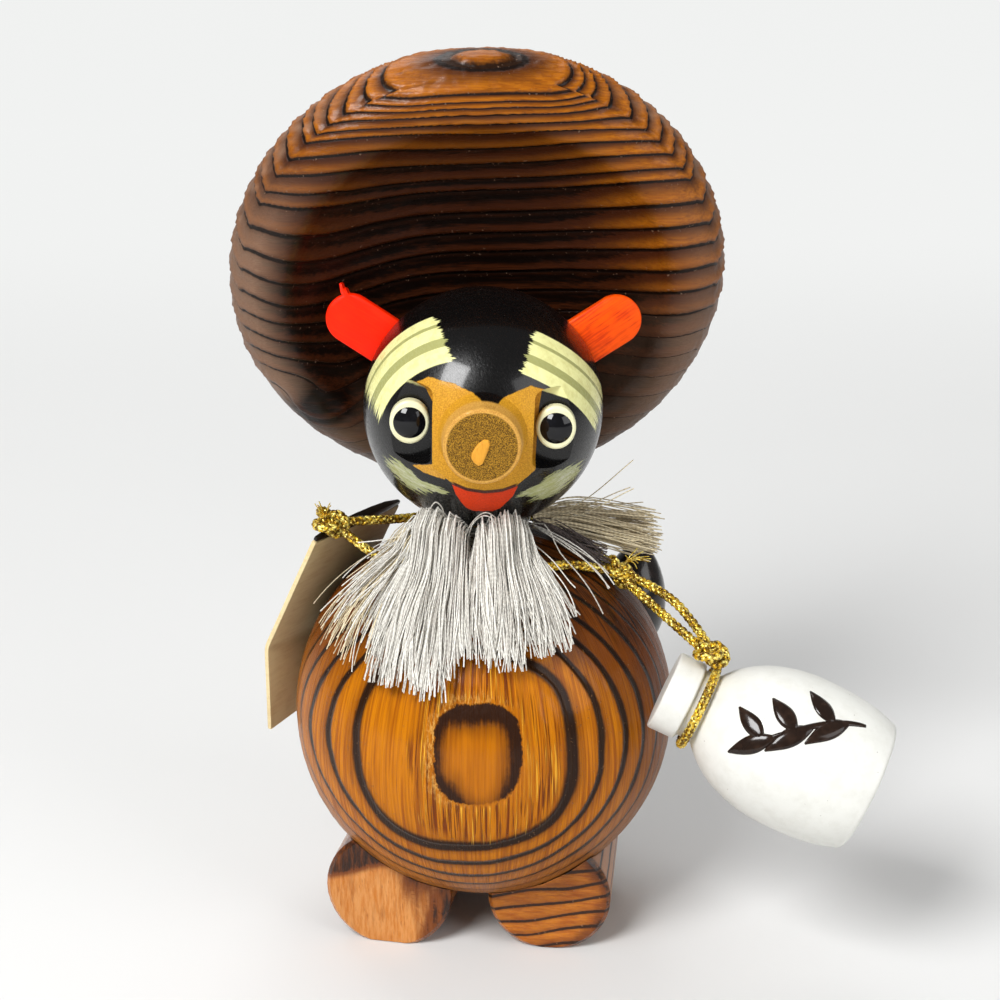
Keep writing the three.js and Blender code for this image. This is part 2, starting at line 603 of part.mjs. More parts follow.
// Tufts: thread ends over the shoulders, one stands out to the right, one droops on the left
function tuft(path, halfHeights, halfDepths) {
  const curve = new THREE.CatmullRomCurve3(path);
  const rows = halfHeights.length - 1;
  const points = 12;
  const rings = halfHeights.map((height, r) => {
    const centre = curve.getPoint(r / rows);
    const along = curve.getTangent(r / rows);
    const sideways = new THREE.Vector3().crossVectors(UP, along).normalize();
    const upward = new THREE.Vector3().crossVectors(along, sideways);
    return Array.from({ length: points }, (_, k) => {
      const a = (2 * Math.PI * k) / points;
      const spot = centre.clone().addScaledVector(sideways, halfDepths[r] * Math.cos(a));
      return spot.addScaledVector(upward, height * Math.sin(a));
    });
  });
  return skin(rings);
}
const collarTop = (bodyCentre.z + bodyRadius + headCentre.z - headRadius) / 2;
const tuftRoot = COLLAR_RADIUS + THREAD_GAP;
const tuftRightPath = [
  vec(tuftRoot, 1.2, collarTop + 0.8),
  vec(tuftRoot + TUFT_RIGHT_LENGTH * 0.35, 3.4, collarTop + 0.4),
  vec(tuftRoot + TUFT_RIGHT_LENGTH, 6.4, collarTop - 2.6),
];
const tuftRightHeights = [1.2, 2, 2.9, 3.7, TUFT_RIGHT_HEIGHT / 2];
add(figure, "tuft_right", tuft(tuftRightPath, tuftRightHeights, [1.4, 2.2, 2.9, 3.4, 3.8]), finishes.taupe);
const tuftLeftPath = [18, 30, 40, TUFT_LEFT_TO].map((polar, i) => onBody(polar, -151 - i, 5.2 - i * 0.3));
add(figure, "tuft_left", tuft(tuftLeftPath, [0.7, 1, 1, 0.7], [1, 1.4, 1.8, 1.8]), finishes.taupe);

// Flask: its frame has the turning axis as +Z from mouth to base, and it leans its lip on the body's side
const flaskAxis = vec(...FLASK_DIRECTION).normalize();
const mouthWay = direction(FLASK_MOUTH_POLAR, FLASK_MOUTH_AZIMUTH);
const lipRadius = FLASK_MOUTH_DIAMETER / 2;
const leanAlong = mouthWay.dot(flaskAxis);
const leanAcross = Math.sqrt(1 - leanAlong ** 2);
const leanReach = bodyRadius + SEAT_GAP;
const rimRadius = lipRadius - FLASK_EDGE / 3;
const mouthDistance = leanAcross * rimRadius + Math.sqrt(leanReach ** 2 - (leanAlong * rimRadius) ** 2);
const mouthCentre = bodyCentre.clone().addScaledVector(mouthWay, mouthDistance);
const flaskFrame = new THREE.Group();
flaskFrame.position.copy(mouthCentre);
flaskFrame.quaternion.setFromUnitVectors(UP, flaskAxis);
figure.add(flaskFrame);
const neckRadius = FLASK_NECK_DIAMETER / 2;
const neckStart = FLASK_LIP_LENGTH;
const neckEnd = FLASK_LIP_LENGTH + FLASK_NECK_LENGTH;
const widest = FLASK_WIDEST_DIAMETER / 2;
const baseRadius = FLASK_BASE_DIAMETER / 2;
const shoulderRun = (FLASK_LENGTH - neckEnd) * 0.57;
const flaskPath = new THREE.Path();
flaskPath.moveTo(0, 0);
flaskPath.lineTo(lipRadius - FLASK_EDGE / 3, 0);
flaskPath.lineTo(lipRadius, FLASK_EDGE / 3);
flaskPath.lineTo(lipRadius, neckStart);
flaskPath.lineTo(neckRadius, neckStart);
flaskPath.lineTo(neckRadius, neckEnd);
flaskPath.quadraticCurveTo(widest, neckEnd + shoulderRun * 0.34, widest, neckEnd + shoulderRun);
flaskPath.quadraticCurveTo(widest, FLASK_LENGTH - FLASK_EDGE * 5, baseRadius, FLASK_LENGTH - FLASK_EDGE);
flaskPath.quadraticCurveTo(baseRadius - FLASK_EDGE * 0.2, FLASK_LENGTH, baseRadius - FLASK_EDGE, FLASK_LENGTH);
flaskPath.lineTo(0, FLASK_LENGTH);
const flaskProfile = flaskPath.getPoints(5).map((p) => [p.x, p.y]);
add(flaskFrame, "flask", turned(flaskProfile, DOWEL_SEGMENTS), finishes.white);

// The loop round the flask's neck, its knot, and the two runs up to the shoulder
const loopRadius = neckRadius + cordRadius + CORD_GAP;
const loopAt = neckStart + FLASK_NECK_LENGTH / 2 + CORD_GAP;
const loop = new THREE.TorusGeometry(loopRadius, cordRadius, CORD_SIDES, 28);
add(flaskFrame, "flask_loop", loop.translate(0, 0, loopAt), finishes.gold);
const loopCentre = mouthCentre.clone().addScaledVector(flaskAxis, loopAt);
const knotWay = UP.clone().addScaledVector(flaskAxis, -flaskAxis.z).normalize();
const knotHigh = loopRadius + cordRadius + CORD_GAP + knotThick - KNOT_SINK;
const flaskKnot = loopCentre.clone().addScaledVector(knotWay, knotHigh).addScaledVector(flaskAxis, -cordRadius * 3);
const flaskKnotShape = knot(flaskKnot, knotWay);
add(figure, "flask_knot", flaskKnotShape, finishes.gold);
for (const [name, bow, apart] of [["sling_upper", SLING_BOW, 1.5], ["sling_lower", -SLING_BOW * 0.55, -1.5]]) {
  const span = flaskKnot.clone().sub(shoulderKnot);
  const aside = new THREE.Vector3().crossVectors(span, UP).normalize();
  const from = shoulderKnot.clone().addScaledVector(aside, -apart);
  const to = flaskKnot.clone().addScaledVector(aside, -apart);
  const start = besideKnot(shoulderKnotShape, from, to);
  const end = besideKnot(flaskKnotShape, to, from);
  const middle = start.clone().add(end).multiplyScalar(0.5);
  middle.addScaledVector(direction(90, FLASK_MOUTH_AZIMUTH), bow * 0.5).addScaledVector(UP, bow);
  add(figure, name, cord([start, middle, end], CORD_DIAMETER, 10), finishes.gold);
}

// Ledger: a thin sheet that leans on the body's back left side, bent to hang upright below the bend
function ledgerRows() {
  const rows = [];
  const bend = rad(LEDGER_LEAN);
  const arc = LEDGER_BEND_RADIUS * bend;
  const straight = LEDGER_UPPER - arc / 2;
  const place = ledgerCorner.clone();
  const stations = [0, straight * 0.5, straight];
  const bendSteps = 4;
  for (let i = 1; i <= bendSteps; i += 1) {
    stations.push(straight + (arc * i) / bendSteps);
  }
  const total = LEDGER_UPPER + LEDGER_LOWER;
  stations.push((stations[stations.length - 1] + total) / 2, total);
  let before = 0;
  for (const s of stations) {
    const share = Math.min(Math.max((s - straight) / arc, 0), 1);
    const middleShare = Math.min(Math.max(((s + before) / 2 - straight) / arc, 0), 1);
    const lean = bend * (1 - middleShare);
    const out = direction(90, LEDGER_AZIMUTH);
    place.addScaledVector(out, Math.sin(lean) * (s - before)).addScaledVector(UP, -Math.cos(lean) * (s - before));
    const normal = out.clone().multiplyScalar(Math.cos(bend * (1 - share)));
    normal.z = Math.sin(bend * (1 - share));
    const twist = rad(LEDGER_TWIST) * Math.min(Math.max((s - straight) / (total - straight), 0), 1);
    const across = ledgerAcross.clone().applyAxisAngle(UP, twist);
    rows.push({ place: place.clone(), normal, across });
    before = s;
  }
  return rows;
}
function ledgerSheet() {
  const columns = 3;
  const rings = ledgerRows().map(({ place, normal, across }) => {
    const ring = [];
    for (const face of [-1, 1]) {
      for (let c = 0; c <= columns; c += 1) {
        const share = face > 0 ? c / columns : 1 - c / columns;
        const spot = place.clone().addScaledVector(across, LEDGER_WIDTH * share);
        ring.push(spot.addScaledVector(normal, (face * LEDGER_THICKNESS) / 2));
      }
    }
    return ring;
  });
  return skin(rings);
}
add(figure, "ledger", ledgerSheet(), finishes.card);

function bindingBar() {
  const rings = [];
  const steps = 6;
  for (let i = 0; i <= steps; i += 1) {
    const t = i / steps;
    const taper = 0.45 + 0.55 * Math.sin(Math.PI * t) ** 0.5;
    const low = ledgerCorner.clone().addScaledVector(ledgerAcross, LEDGER_WIDTH * t).addScaledVector(ledgerDown, -SEAT_GAP);
    const half = (BINDING_THICKNESS / 2) * taper;
    const high = BINDING_HEIGHT * taper;
    rings.push([
      low.clone().addScaledVector(ledgerNormal, -half),
      low.clone().addScaledVector(ledgerNormal, half),
      low.clone().addScaledVector(ledgerNormal, half).addScaledVector(ledgerDown, -high),
      low.clone().addScaledVector(ledgerNormal, -half).addScaledVector(ledgerDown, -high),
    ]);
  }
  return skin(rings);
}
add(figure, "ledger_binding", bindingBar(), finishes.black);

// The origin is the middle of the whole piece's box, on the surface that the feet stand on
figure.updateMatrixWorld(true);
const box = new THREE.Box3().setFromObject(figure, true);
const middle = box.getCenter(vec(0, 0, 0));
const tanuki = new THREE.Group();
figure.position.set(-middle.x, -middle.y, -box.min.z);
tanuki.add(figure);

export default tanuki;
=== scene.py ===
"""Dresses the turned cedar tanuki: scorched wood, lacquer, thread beard, gold cord, flask and ledger."""

from __future__ import annotations

import json
import logging
import math
import random
from contextlib import contextmanager
from dataclasses import dataclass, field
from enum import Enum
from typing import Callable, Iterator, Sequence

import bmesh
import bpy
import numpy as np
from bpy.types import Material, Node, NodeSocket, NodeTree, Object
from mathutils import Matrix, Vector, noise

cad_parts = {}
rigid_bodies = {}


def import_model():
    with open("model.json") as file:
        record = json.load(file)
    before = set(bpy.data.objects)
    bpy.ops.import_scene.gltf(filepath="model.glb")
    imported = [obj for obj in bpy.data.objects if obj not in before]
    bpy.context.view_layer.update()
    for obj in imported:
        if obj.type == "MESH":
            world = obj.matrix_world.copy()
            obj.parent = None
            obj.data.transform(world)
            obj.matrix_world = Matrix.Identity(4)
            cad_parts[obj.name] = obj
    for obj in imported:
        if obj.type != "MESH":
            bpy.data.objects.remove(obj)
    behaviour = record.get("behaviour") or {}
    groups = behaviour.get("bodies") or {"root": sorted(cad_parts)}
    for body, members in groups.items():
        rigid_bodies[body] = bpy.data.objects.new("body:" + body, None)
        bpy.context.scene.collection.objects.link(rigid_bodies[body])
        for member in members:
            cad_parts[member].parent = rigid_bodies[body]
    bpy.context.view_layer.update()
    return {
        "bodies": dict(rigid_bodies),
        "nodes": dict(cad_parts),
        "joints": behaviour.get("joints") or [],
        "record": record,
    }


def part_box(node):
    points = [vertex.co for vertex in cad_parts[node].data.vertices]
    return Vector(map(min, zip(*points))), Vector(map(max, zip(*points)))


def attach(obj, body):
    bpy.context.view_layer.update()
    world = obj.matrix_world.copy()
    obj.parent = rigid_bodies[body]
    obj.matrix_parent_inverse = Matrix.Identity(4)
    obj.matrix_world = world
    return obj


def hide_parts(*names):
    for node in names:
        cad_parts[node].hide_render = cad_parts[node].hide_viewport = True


LOG = logging.getLogger("tanuki")
MM = 0.001
PER_METRE = 1000
TURN = 2 * math.pi
UP = Vector((0.0, 0.0, 1.0))
FORWARD = Matrix.Rotation(math.pi / 2, 4, "X")
RING_BASE = 100
WORLD_PALE = (240, 241, 240)
Points = np.ndarray
Colour = tuple[float, float, float, float]
Pair = tuple[float, float]
Triple = tuple[float, float, float]
Outline = list[Pair]
FRAME: dict = {}


class Body(Enum):
    """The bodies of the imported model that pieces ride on."""

    FIGURE = "figure"
    SLING = "sling"
    FLASK = "flask"
    LEDGER = "ledger"


class Slot(Enum):
    """The record's material slots."""

    CEDAR = "cedar"
    SCORCHED = "scorched_cedar"
    LACQUER = "black_lacquer"
    CREAM = "cream_paint"
    PUPIL = "pupil_gloss"
    VERMILION = "vermilion_paint"
    WHITE_THREAD = "white_thread"
    TAUPE_THREAD = "taupe_thread"
    GOLD = "gold_cord"
    WHITE_PAINT = "white_paint"
    SHEET = "tan_sheet"
    BLACK_EDGE = "black_edge"
    PEG = "peg_wood"


def tint(red: int, green: int, blue: int) -> Colour:
    """A colour as it looks on a screen, turned linear.

    Args:
        red: 0 to 255.
        green: 0 to 255.
        blue: 0 to 255.

    Returns:
        The linear colour with full alpha.
    """

    def linear(value: int) -> float:
        """One channel turned linear."""
        share = value / 255
        return share / 12.92 if share <= 0.04045 else ((share + 0.055) / 1.055) ** 2.4

    return (linear(red), linear(green), linear(blue), 1.0)


# Node trees


class Sock:
    """A node's output that takes part in Python expressions."""

    def __init__(self, tree: NodeTree, socket: NodeSocket) -> None:
        """Keeps the tree and the socket."""
        self.tree = tree
        self.socket = socket

    def solve(self, operation: str, *values: Sock | float) -> Sock:
        """A Math node on values, in the order given."""
        node = add_node(self.tree, "ShaderNodeMath", {"operation": operation}, dict(enumerate(values)))
        return Sock(self.tree, node.outputs[0])

    def math(self, operation: str, *others: Sock | float) -> Sock:
        """Adds a Math node with this value first.

        Args:
            operation: the node's operation.
            others: the other operands.

        Returns:
            The node's value.
        """
        return self.solve(operation, self, *others)

    def __add__(self, other: Sock | float) -> Sock:
        """Sum."""
        return self.math("ADD", other)

    __radd__ = __add__

    def __sub__(self, other: Sock | float) -> Sock:
        """Difference."""
        return self.math("SUBTRACT", other)

    def __rsub__(self, other: Sock | float) -> Sock:
        """Reflected difference."""
        return self.solve("SUBTRACT", other, self)

    def __mul__(self, other: Sock | float) -> Sock:
        """Product."""
        return self.math("MULTIPLY", other)

    __rmul__ = __mul__

    def __truediv__(self, other: Sock | float) -> Sock:
        """Quotient."""
        return self.math("DIVIDE", other)

    def smooth(self, low: float, high: float) -> Sock:
        """A smooth step from 0 at low to 1 at high, which may be the lesser."""
        flip = low > high
        sockets = {"Value": self, "From Min": min(low, high), "From Max": max(low, high)}
        sockets.update({"To Min": float(flip), "To Max": float(not flip)})
        node = add_node(self.tree, "ShaderNodeMapRange", {"interpolation_type": "SMOOTHSTEP"}, sockets)
        return Sock(self.tree, node.outputs[0])

    def span(self, low: float, high: float, soft: float) -> Sock:
        """1 between two values, with soft edges inside them."""
        return self.smooth(low, low + soft) * self.smooth(high, high - soft)

    def curve(self, stops: Sequence[Pair]) -> Sock:
        """A function given by points, straight between them.

        Args:
            stops: pairs of this value and the result, in rising order.

        Returns:
            The result.
        """
        xs, ys = [x for x, _ in stops], [y for _, y in stops]
        low, span, base, rise = xs[0], xs[-1] - xs[0], min(ys), max(max(ys) - min(ys), 1e-6)
        node = self.tree.nodes.new("ShaderNodeFloatCurve")
        line = node.mapping.curves[0]
        places = [((x - low) / span, (y - base) / rise) for x, y in stops]
        for _ in places[2:]:
            line.points.new(0.5, 0.5)
        for point, place in zip(line.points, places):
            point.location = place
            point.handle_type = "VECTOR"
        node.mapping.update()
        self.tree.links.new(((self - low) / span).socket, node.inputs["Value"])
        return Sock(self.tree, node.outputs[0]) * rise + base


def add_node(tree: NodeTree, kind: str, settings: dict, sockets: dict) -> Node:
    """Adds a node, sets it and joins its inputs.

    Args:
        tree: the node tree.
        kind: the node's type.
        settings: the node's own settings, set first.
        sockets: input names or numbers with the values or links they get.

    Returns:
        The node.
    """
    node = tree.nodes.new(kind)
    for name, value in settings.items():
        setattr(node, name, value)
    for name, value in sockets.items():
        socket = node.inputs[name]
        if isinstance(value, Sock):
            tree.links.new(value.socket, socket)
        elif isinstance(value, NodeSocket):
            tree.links.new(value, socket)
        else:
            socket.default_value = value
    return node


class Surface:
    """A material under construction."""

    def __init__(self, name: str) -> None:
        """Starts an empty material."""
        self.material = bpy.data.materials.new(name)
        self.material.use_nodes = True
        self.tree = self.material.node_tree
        self.tree.nodes.clear()
        self.shader = self.tree.nodes.new("ShaderNodeBsdfPrincipled")
        out = self.tree.nodes.new("ShaderNodeOutputMaterial")
        self.tree.links.new(self.shader.outputs[0], out.inputs["Surface"])

    def node(
        self, kind: str, settings: dict | None = None, sockets: dict | None = None, output: int | str = 0
    ) -> Sock:
        """Adds any node and gives one of its outputs."""
        return Sock(self.tree, add_node(self.tree, kind, settings or {}, sockets or {}).outputs[output])

    def place(self, scale: Triple = (1, 1, 1), turn: Triple = (0, 0, 0), shift: Triple = (0, 0, 0)) -> Sock:
        """Object coordinates in millimetres, turned by radians, shifted and then scaled."""
        at = self.node("ShaderNodeTexCoord", output="Object")
        sockets = {"Vector": at, "Scale": (PER_METRE,) * 3, "Rotation": tuple(turn), "Location": tuple(shift)}
        at = self.node("ShaderNodeMapping", {}, sockets)
        return self.node("ShaderNodeVectorMath", {"operation": "MULTIPLY"}, {0: at, 1: tuple(scale)})

    def gather(self, **parts: Sock | float) -> Sock:
        """A vector from its parts, named x, y and z."""
        sockets = {"xyz".index(name): part for name, part in parts.items()}
        return self.node("ShaderNodeCombineXYZ", {}, sockets)

    def split(self, vector: Sock) -> tuple[Sock, Sock, Sock]:
        """A vector's three parts."""
        node = add_node(self.tree, "ShaderNodeSeparateXYZ", {}, {0: vector})
        return tuple(Sock(self.tree, part) for part in node.outputs)

    def mottle(self, at: Sock, scale: float, detail: float = 3, rough: float = 0.55, bend: float = 0) -> Sock:
        """Noise from 0 to 1, about 0.5 on average."""
        sockets = {"Vector": at, "Scale": scale, "Detail": detail, "Roughness": rough, "Distortion": bend}
        return self.node("ShaderNodeTexNoise", {}, sockets)

    def attribute(self, name: str) -> Sock:
        """A number kept on the mesh."""
        return self.node("ShaderNodeAttribute", {"attribute_name": name}, output="Fac")

    def mix(self, share: Sock | float, first: Sock | Colour, second: Sock | Colour) -> Sock:
        """A colour between two."""
        return self.node("ShaderNodeMix", {"data_type": "RGBA"}, {0: share, 6: first, 7: second}, output=2)

    def bump(self, height: Sock, depth: float) -> None:
        """Relief of the given depth in millimetres."""
        normal = self.node("ShaderNodeBump", {}, {"Height": height, "Distance": depth * MM, "Strength": 1.0})
        self.tree.links.new(normal.socket, self.shader.inputs["Normal"])

    def done(self, **sockets: Sock | float | Colour) -> Material:
        """Sets the shader's inputs, named with underscores, and gives the material."""
        for name, value in sockets.items():
            socket = self.shader.inputs[name.replace("_", " ").title().replace("Ior", "IOR")]
            if isinstance(value, Sock):
                self.tree.links.new(value.socket, socket)
            else:
                socket.default_value = value
        return self.material


# Meshes


def linked(name: str, data: bpy.types.ID) -> Object:
    """A new object with its data, linked to the scene."""
    made = bpy.data.objects.new(name, data)
    bpy.context.scene.collection.objects.link(made)
    return made


def to_object(name: str, points: Points, faces: Sequence, smooth: bool = True) -> Object:
    """A mesh object from points in metres, at the origin.

    Args:
        name: the piece's name.
        points: rows of x, y and z.
        faces: lists of point numbers.
        smooth: whether its faces shade smoothly.

    Returns:
        The object, linked to the scene.
    """
    mesh = bpy.data.meshes.new(name)
    mesh.from_pydata(np.asarray(points).tolist(), [], [list(face) for face in faces])
    mesh.validate()
    mesh.polygons.foreach_set("use_smooth", [smooth] * len(mesh.polygons))
    return linked(name, mesh)


def packed_copy(node: str, name: str) -> Object:
    """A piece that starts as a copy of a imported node."""
    return linked(name, FRAME["nodes"][node].data.copy())


@contextmanager
def edited(made: Object) -> Iterator[bmesh.types.BMesh]:
    """A piece's mesh, opened for edits and written back after them."""
    mesh = bmesh.new()
    mesh.from_mesh(made.data)
    yield mesh
    mesh.to_mesh(made.data)
    mesh.free()


def sharpen(made: Object, degrees: float = 35) -> None:
    """Marks edges sharper than an angle, so that they stay crisp in smooth shading."""
    with edited(made) as mesh:
        for edge in mesh.edges:
            edge.smooth = len(edge.link_faces) == 2 and edge.calc_face_angle(0) < math.radians(degrees)
        for face in mesh.faces:
            face.smooth = True


def face_out(made: Object) -> None:
    """Turns a closed mesh's faces outward."""
    with edited(made) as mesh:
        bmesh.ops.recalc_face_normals(mesh, faces=mesh.faces)


def keep(made: Object, **values: Points) -> None:
    """Stores numbers for each point of a mesh, each kind under its name."""
    for name, numbers in values.items():
        layer = made.data.attributes.new(name, "FLOAT", "POINT")
        layer.data.foreach_set("value", np.asarray(numbers, dtype=np.float32))


def points_of(made: Object) -> Points:
    """A mesh's points as rows."""
    flat = np.empty(len(made.data.vertices) * 3)
    made.data.vertices.foreach_get("co", flat)
    return flat.reshape(-1, 3)


def normals_of(made: Object) -> Points:
    """A mesh's normals at its points."""
    flat = np.empty(len(made.data.vertices) * 3)
    made.data.vertex_normals.foreach_get("vector", flat)
    return flat.reshape(-1, 3)


def set_points(made: Object, points: Points) -> None:
    """Moves a mesh's points."""
    made.data.vertices.foreach_set("co", np.asarray(points).ravel())
    made.data.update()


def middle_of(node: str) -> Vector:
    """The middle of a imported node's box, in millimetres."""
    low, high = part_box(node)
    return (Vector(low) + Vector(high)) / 2 * PER_METRE


def stacked(count: int, rings: int) -> list[list[int]]:
    """The faces of a closed shape made of outlines one behind the other.

    Args:
        count: how many points each outline has.
        rings: how many outlines there are.

    Returns:
        The sides and then the two ends, as lists of point numbers.
    """
    faces = []
    for low in range(0, (rings - 1) * count, count):
        for i in range(count):
            j = (i + 1) % count
            faces.append([low + i, low + j, low + count + j, low + count + i])
    return faces + [list(range(count))[::-1], list(range((rings - 1) * count, rings * count))]


def revolve(profile: Sequence[Pair], segments: int, place: Matrix) -> tuple[Points, list]:
    """A profile turned about its axis.

    Args:
        profile: pairs of radius and height in millimetres, from axis to axis.
        segments: how many steps make a turn.
        place: the matrix from the profile's frame, +Z along its axis, to the row frame in metres.

    Returns:
        The points and the faces.
    """
    rim = np.array(profile[1:-1])
    angle = np.arange(segments) * (TURN / segments)
    x = rim[:, :1] * np.cos(angle)
    y = rim[:, :1] * np.sin(angle)
    z = np.repeat(rim[:, 1:], segments, axis=1)
    local = np.stack([x, y, z], -1).reshape(-1, 3)
    local = np.vstack([local, [0, 0, profile[0][1]], [0, 0, profile[-1][1]]])
    rows = len(rim)
    i = np.arange(segments)
    j = (i + 1) % segments
    faces: list = []
    for row in range(rows - 1):
        a, b = row * segments, (row + 1) * segments
        faces += np.stack([a + i, a + j, b + j, b + i], -1).tolist()
    first, last, end = rows * segments, rows * segments + 1, (rows - 1) * segments
    faces += [[first, int(q), int(p)] for p, q in zip(i, j)]
    faces += [[last, int(end + p), int(end + q)] for p, q in zip(i, j)]
    return transform(local, place), faces


def transform(points: Points, place: Matrix) -> Points:
    """Points in millimetres placed in the row frame, in metres."""
    m = np.array(place)
    return points @ m[:3, :3].T * MM + m[:3, 3]


def quadratic(a: Pair, b: Pair, c: Pair, steps: int) -> Outline:
    """Points on a quadratic curve, without its first point."""
    t = np.linspace(0, 1, steps + 1)[1:, None]
    a, b, c = (np.array(p) for p in (a, b, c))
    return [tuple(p) for p in (1 - t) ** 2 * a + 2 * t * (1 - t) * b + t**2 * c]


def arc(centre: Pair, radius: float, start: float, stop: float, steps: int) -> Outline:
    """Points on a circle between two angles in degrees."""
    turn = np.radians(np.linspace(start, stop, steps + 1))
    return [(centre[0] + radius * math.cos(t), centre[1] + radius * math.sin(t)) for t in turn]


def through(points: Sequence[Vector], steps: int) -> Points:
    """A smooth line through points.

    Args:
        points: the points.
        steps: steps between each two.

    Returns:
        The line's points as rows.
    """
    p = np.array([tuple(q) for q in points])
    p = np.vstack([2 * p[0] - p[1], p, 2 * p[-1] - p[-2]])
    t = np.linspace(0, 1, steps, endpoint=False)[:, None]
    rows = []
    for a, b, c, d in zip(p, p[1:], p[2:], p[3:]):
        square, cube = 2 * a - 5 * b + 4 * c - d, 3 * b - a - 3 * c + d
        rows.append(0.5 * (2 * b + (c - a) * t + square * t**2 + cube * t**3))
    return np.vstack([*rows, p[-2]])


def clouds(points: Points, scale: float, seed: float) -> Points:
    """Smooth noise from -1 to 1 at points in metres, with features about 1/scale millimetres across."""
    rows = points * PER_METRE * scale + [seed, 0, 0]
    return np.array([noise.noise(Vector(row)) for row in rows])


def ramp(values: Points, low: float, high: float) -> Points:
    """0 at low and 1 at high, which may be the lesser, straight between them and level beyond."""
    return np.clip((values - low) / (high - low), 0, 1)


def hump(values: Points, wide: float) -> Points:
    """A bell curve: 1 at 0, and 1/e at the given width."""
    return np.exp(-((values / wide) ** 2))


def ease(share: Points) -> Points:
    """A share from 0 to 1, with soft ends."""
    return share * share * (3 - 2 * share)


def clamp(value: float) -> float:
    """A number held between 0 and 1."""
    return min(max(value, 0), 1)


def ring_count(depth: Points, lines: Sequence[float]) -> Points:
    """How many growth lines lie before each depth, with a whole number at each line.

    Args:
        depth: depths in millimetres.
        lines: the depths of the lines, rising.

    Returns:
        The counts, running on past the first and last line at the lines' mean step.
    """
    lines = np.array(lines)
    step = (lines[-1] - lines[0]) / (len(lines) - 1)
    count = np.interp(depth, lines, np.arange(len(lines)))
    count = np.where(depth < lines[0], (depth - lines[0]) / step, count)
    count = np.where(depth > lines[-1], len(lines) - 1 + (depth - lines[-1]) / step, count)
    return count + RING_BASE


def terrace(count: Points) -> Points:
    """The brushed relief of growth rings: it rises to each line and drops just before the next ring.

    Args:
        count: the ring count of each point.

    Returns:
        The heights from 0 to 1.
    """
    share = (count + 0.04) % 1
    return np.clip(share / 0.9, 0, 1) ** 2 * ease(np.clip((1 - share) / 0.1, 0, 1))


def geometry_tree(name: str, inputs: dict[str, str]) -> tuple[NodeTree, Node]:
    """An empty geometry tree with named inputs.

    Args:
        name: the tree's name.
        inputs: input names and their socket types.

    Returns:
        The tree and its input node.
    """
    tree = bpy.data.node_groups.new(name, "GeometryNodeTree")
    tree.interface.new_socket("Geometry", in_out="INPUT", socket_type="NodeSocketGeometry")
    for label, kind in inputs.items():
        tree.interface.new_socket(label, in_out="INPUT", socket_type=kind)
    tree.interface.new_socket("Geometry", in_out="OUTPUT", socket_type="NodeSocketGeometry")
    return tree, tree.nodes.new("NodeGroupInput")


def close_tree(
    tree: NodeTree, curve: NodeSocket, radius: NodeSocket, sides: int, material: NodeSocket
) -> None:
    """Ends a tree: a round section along each curve, made real and given its material."""
    section = add_node(tree, "GeometryNodeCurvePrimitiveCircle", {}, {"Resolution": sides, "Radius": radius})
    swept = {"Curve": curve, "Profile Curve": section.outputs[0], "Fill Caps": True}
    last = add_node(tree, "GeometryNodeCurveToMesh", {}, swept)
    for kind, more in (
        ("GeometryNodeSetShadeSmooth", {}),
        ("GeometryNodeRealizeInstances", {}),
        ("GeometryNodeSetMaterial", {"Material": material}),
        ("NodeGroupOutput", {}),
    ):
        last = add_node(tree, kind, {}, {"Geometry": last.outputs[0], **more})


def stored(
    tree: NodeTree, geometry: NodeSocket, name: str, value: Sock | NodeSocket, domain: str = "POINT"
) -> NodeSocket:
    """The geometry with a number kept on its points or its curves."""
    settings = {"data_type": "FLOAT", "domain": domain}
    sockets = {"Geometry": geometry, "Name": name, "Value": value}
    return add_node(tree, "GeometryNodeStoreNamedAttribute", settings, sockets).outputs[0]


def thread_tree() -> NodeTree:
    """The tree that sweeps threads along lines, each with its own shade number."""
    kinds = {"Radius": "NodeSocketFloat", "Seed": "NodeSocketInt", "Material": "NodeSocketMaterial"}
    tree, given = geometry_tree("threads", kinds)
    curves = add_node(tree, "GeometryNodeMeshToCurve", {}, {"Mesh": given.outputs["Geometry"]})
    seed = {"Seed": given.outputs["Seed"]}
    chance = add_node(tree, "FunctionNodeRandomValue", {"data_type": "FLOAT"}, seed)
    shade = stored(tree, curves.outputs[0], "shade", chance.outputs[1], "CURVE")
    run = add_node(tree, "GeometryNodeSplineParameter", {}, {})
    along = stored(tree, shade, "along", run.outputs["Length"])
    close_tree(tree, along, given.outputs["Radius"], 5, given.outputs["Material"])
    return tree


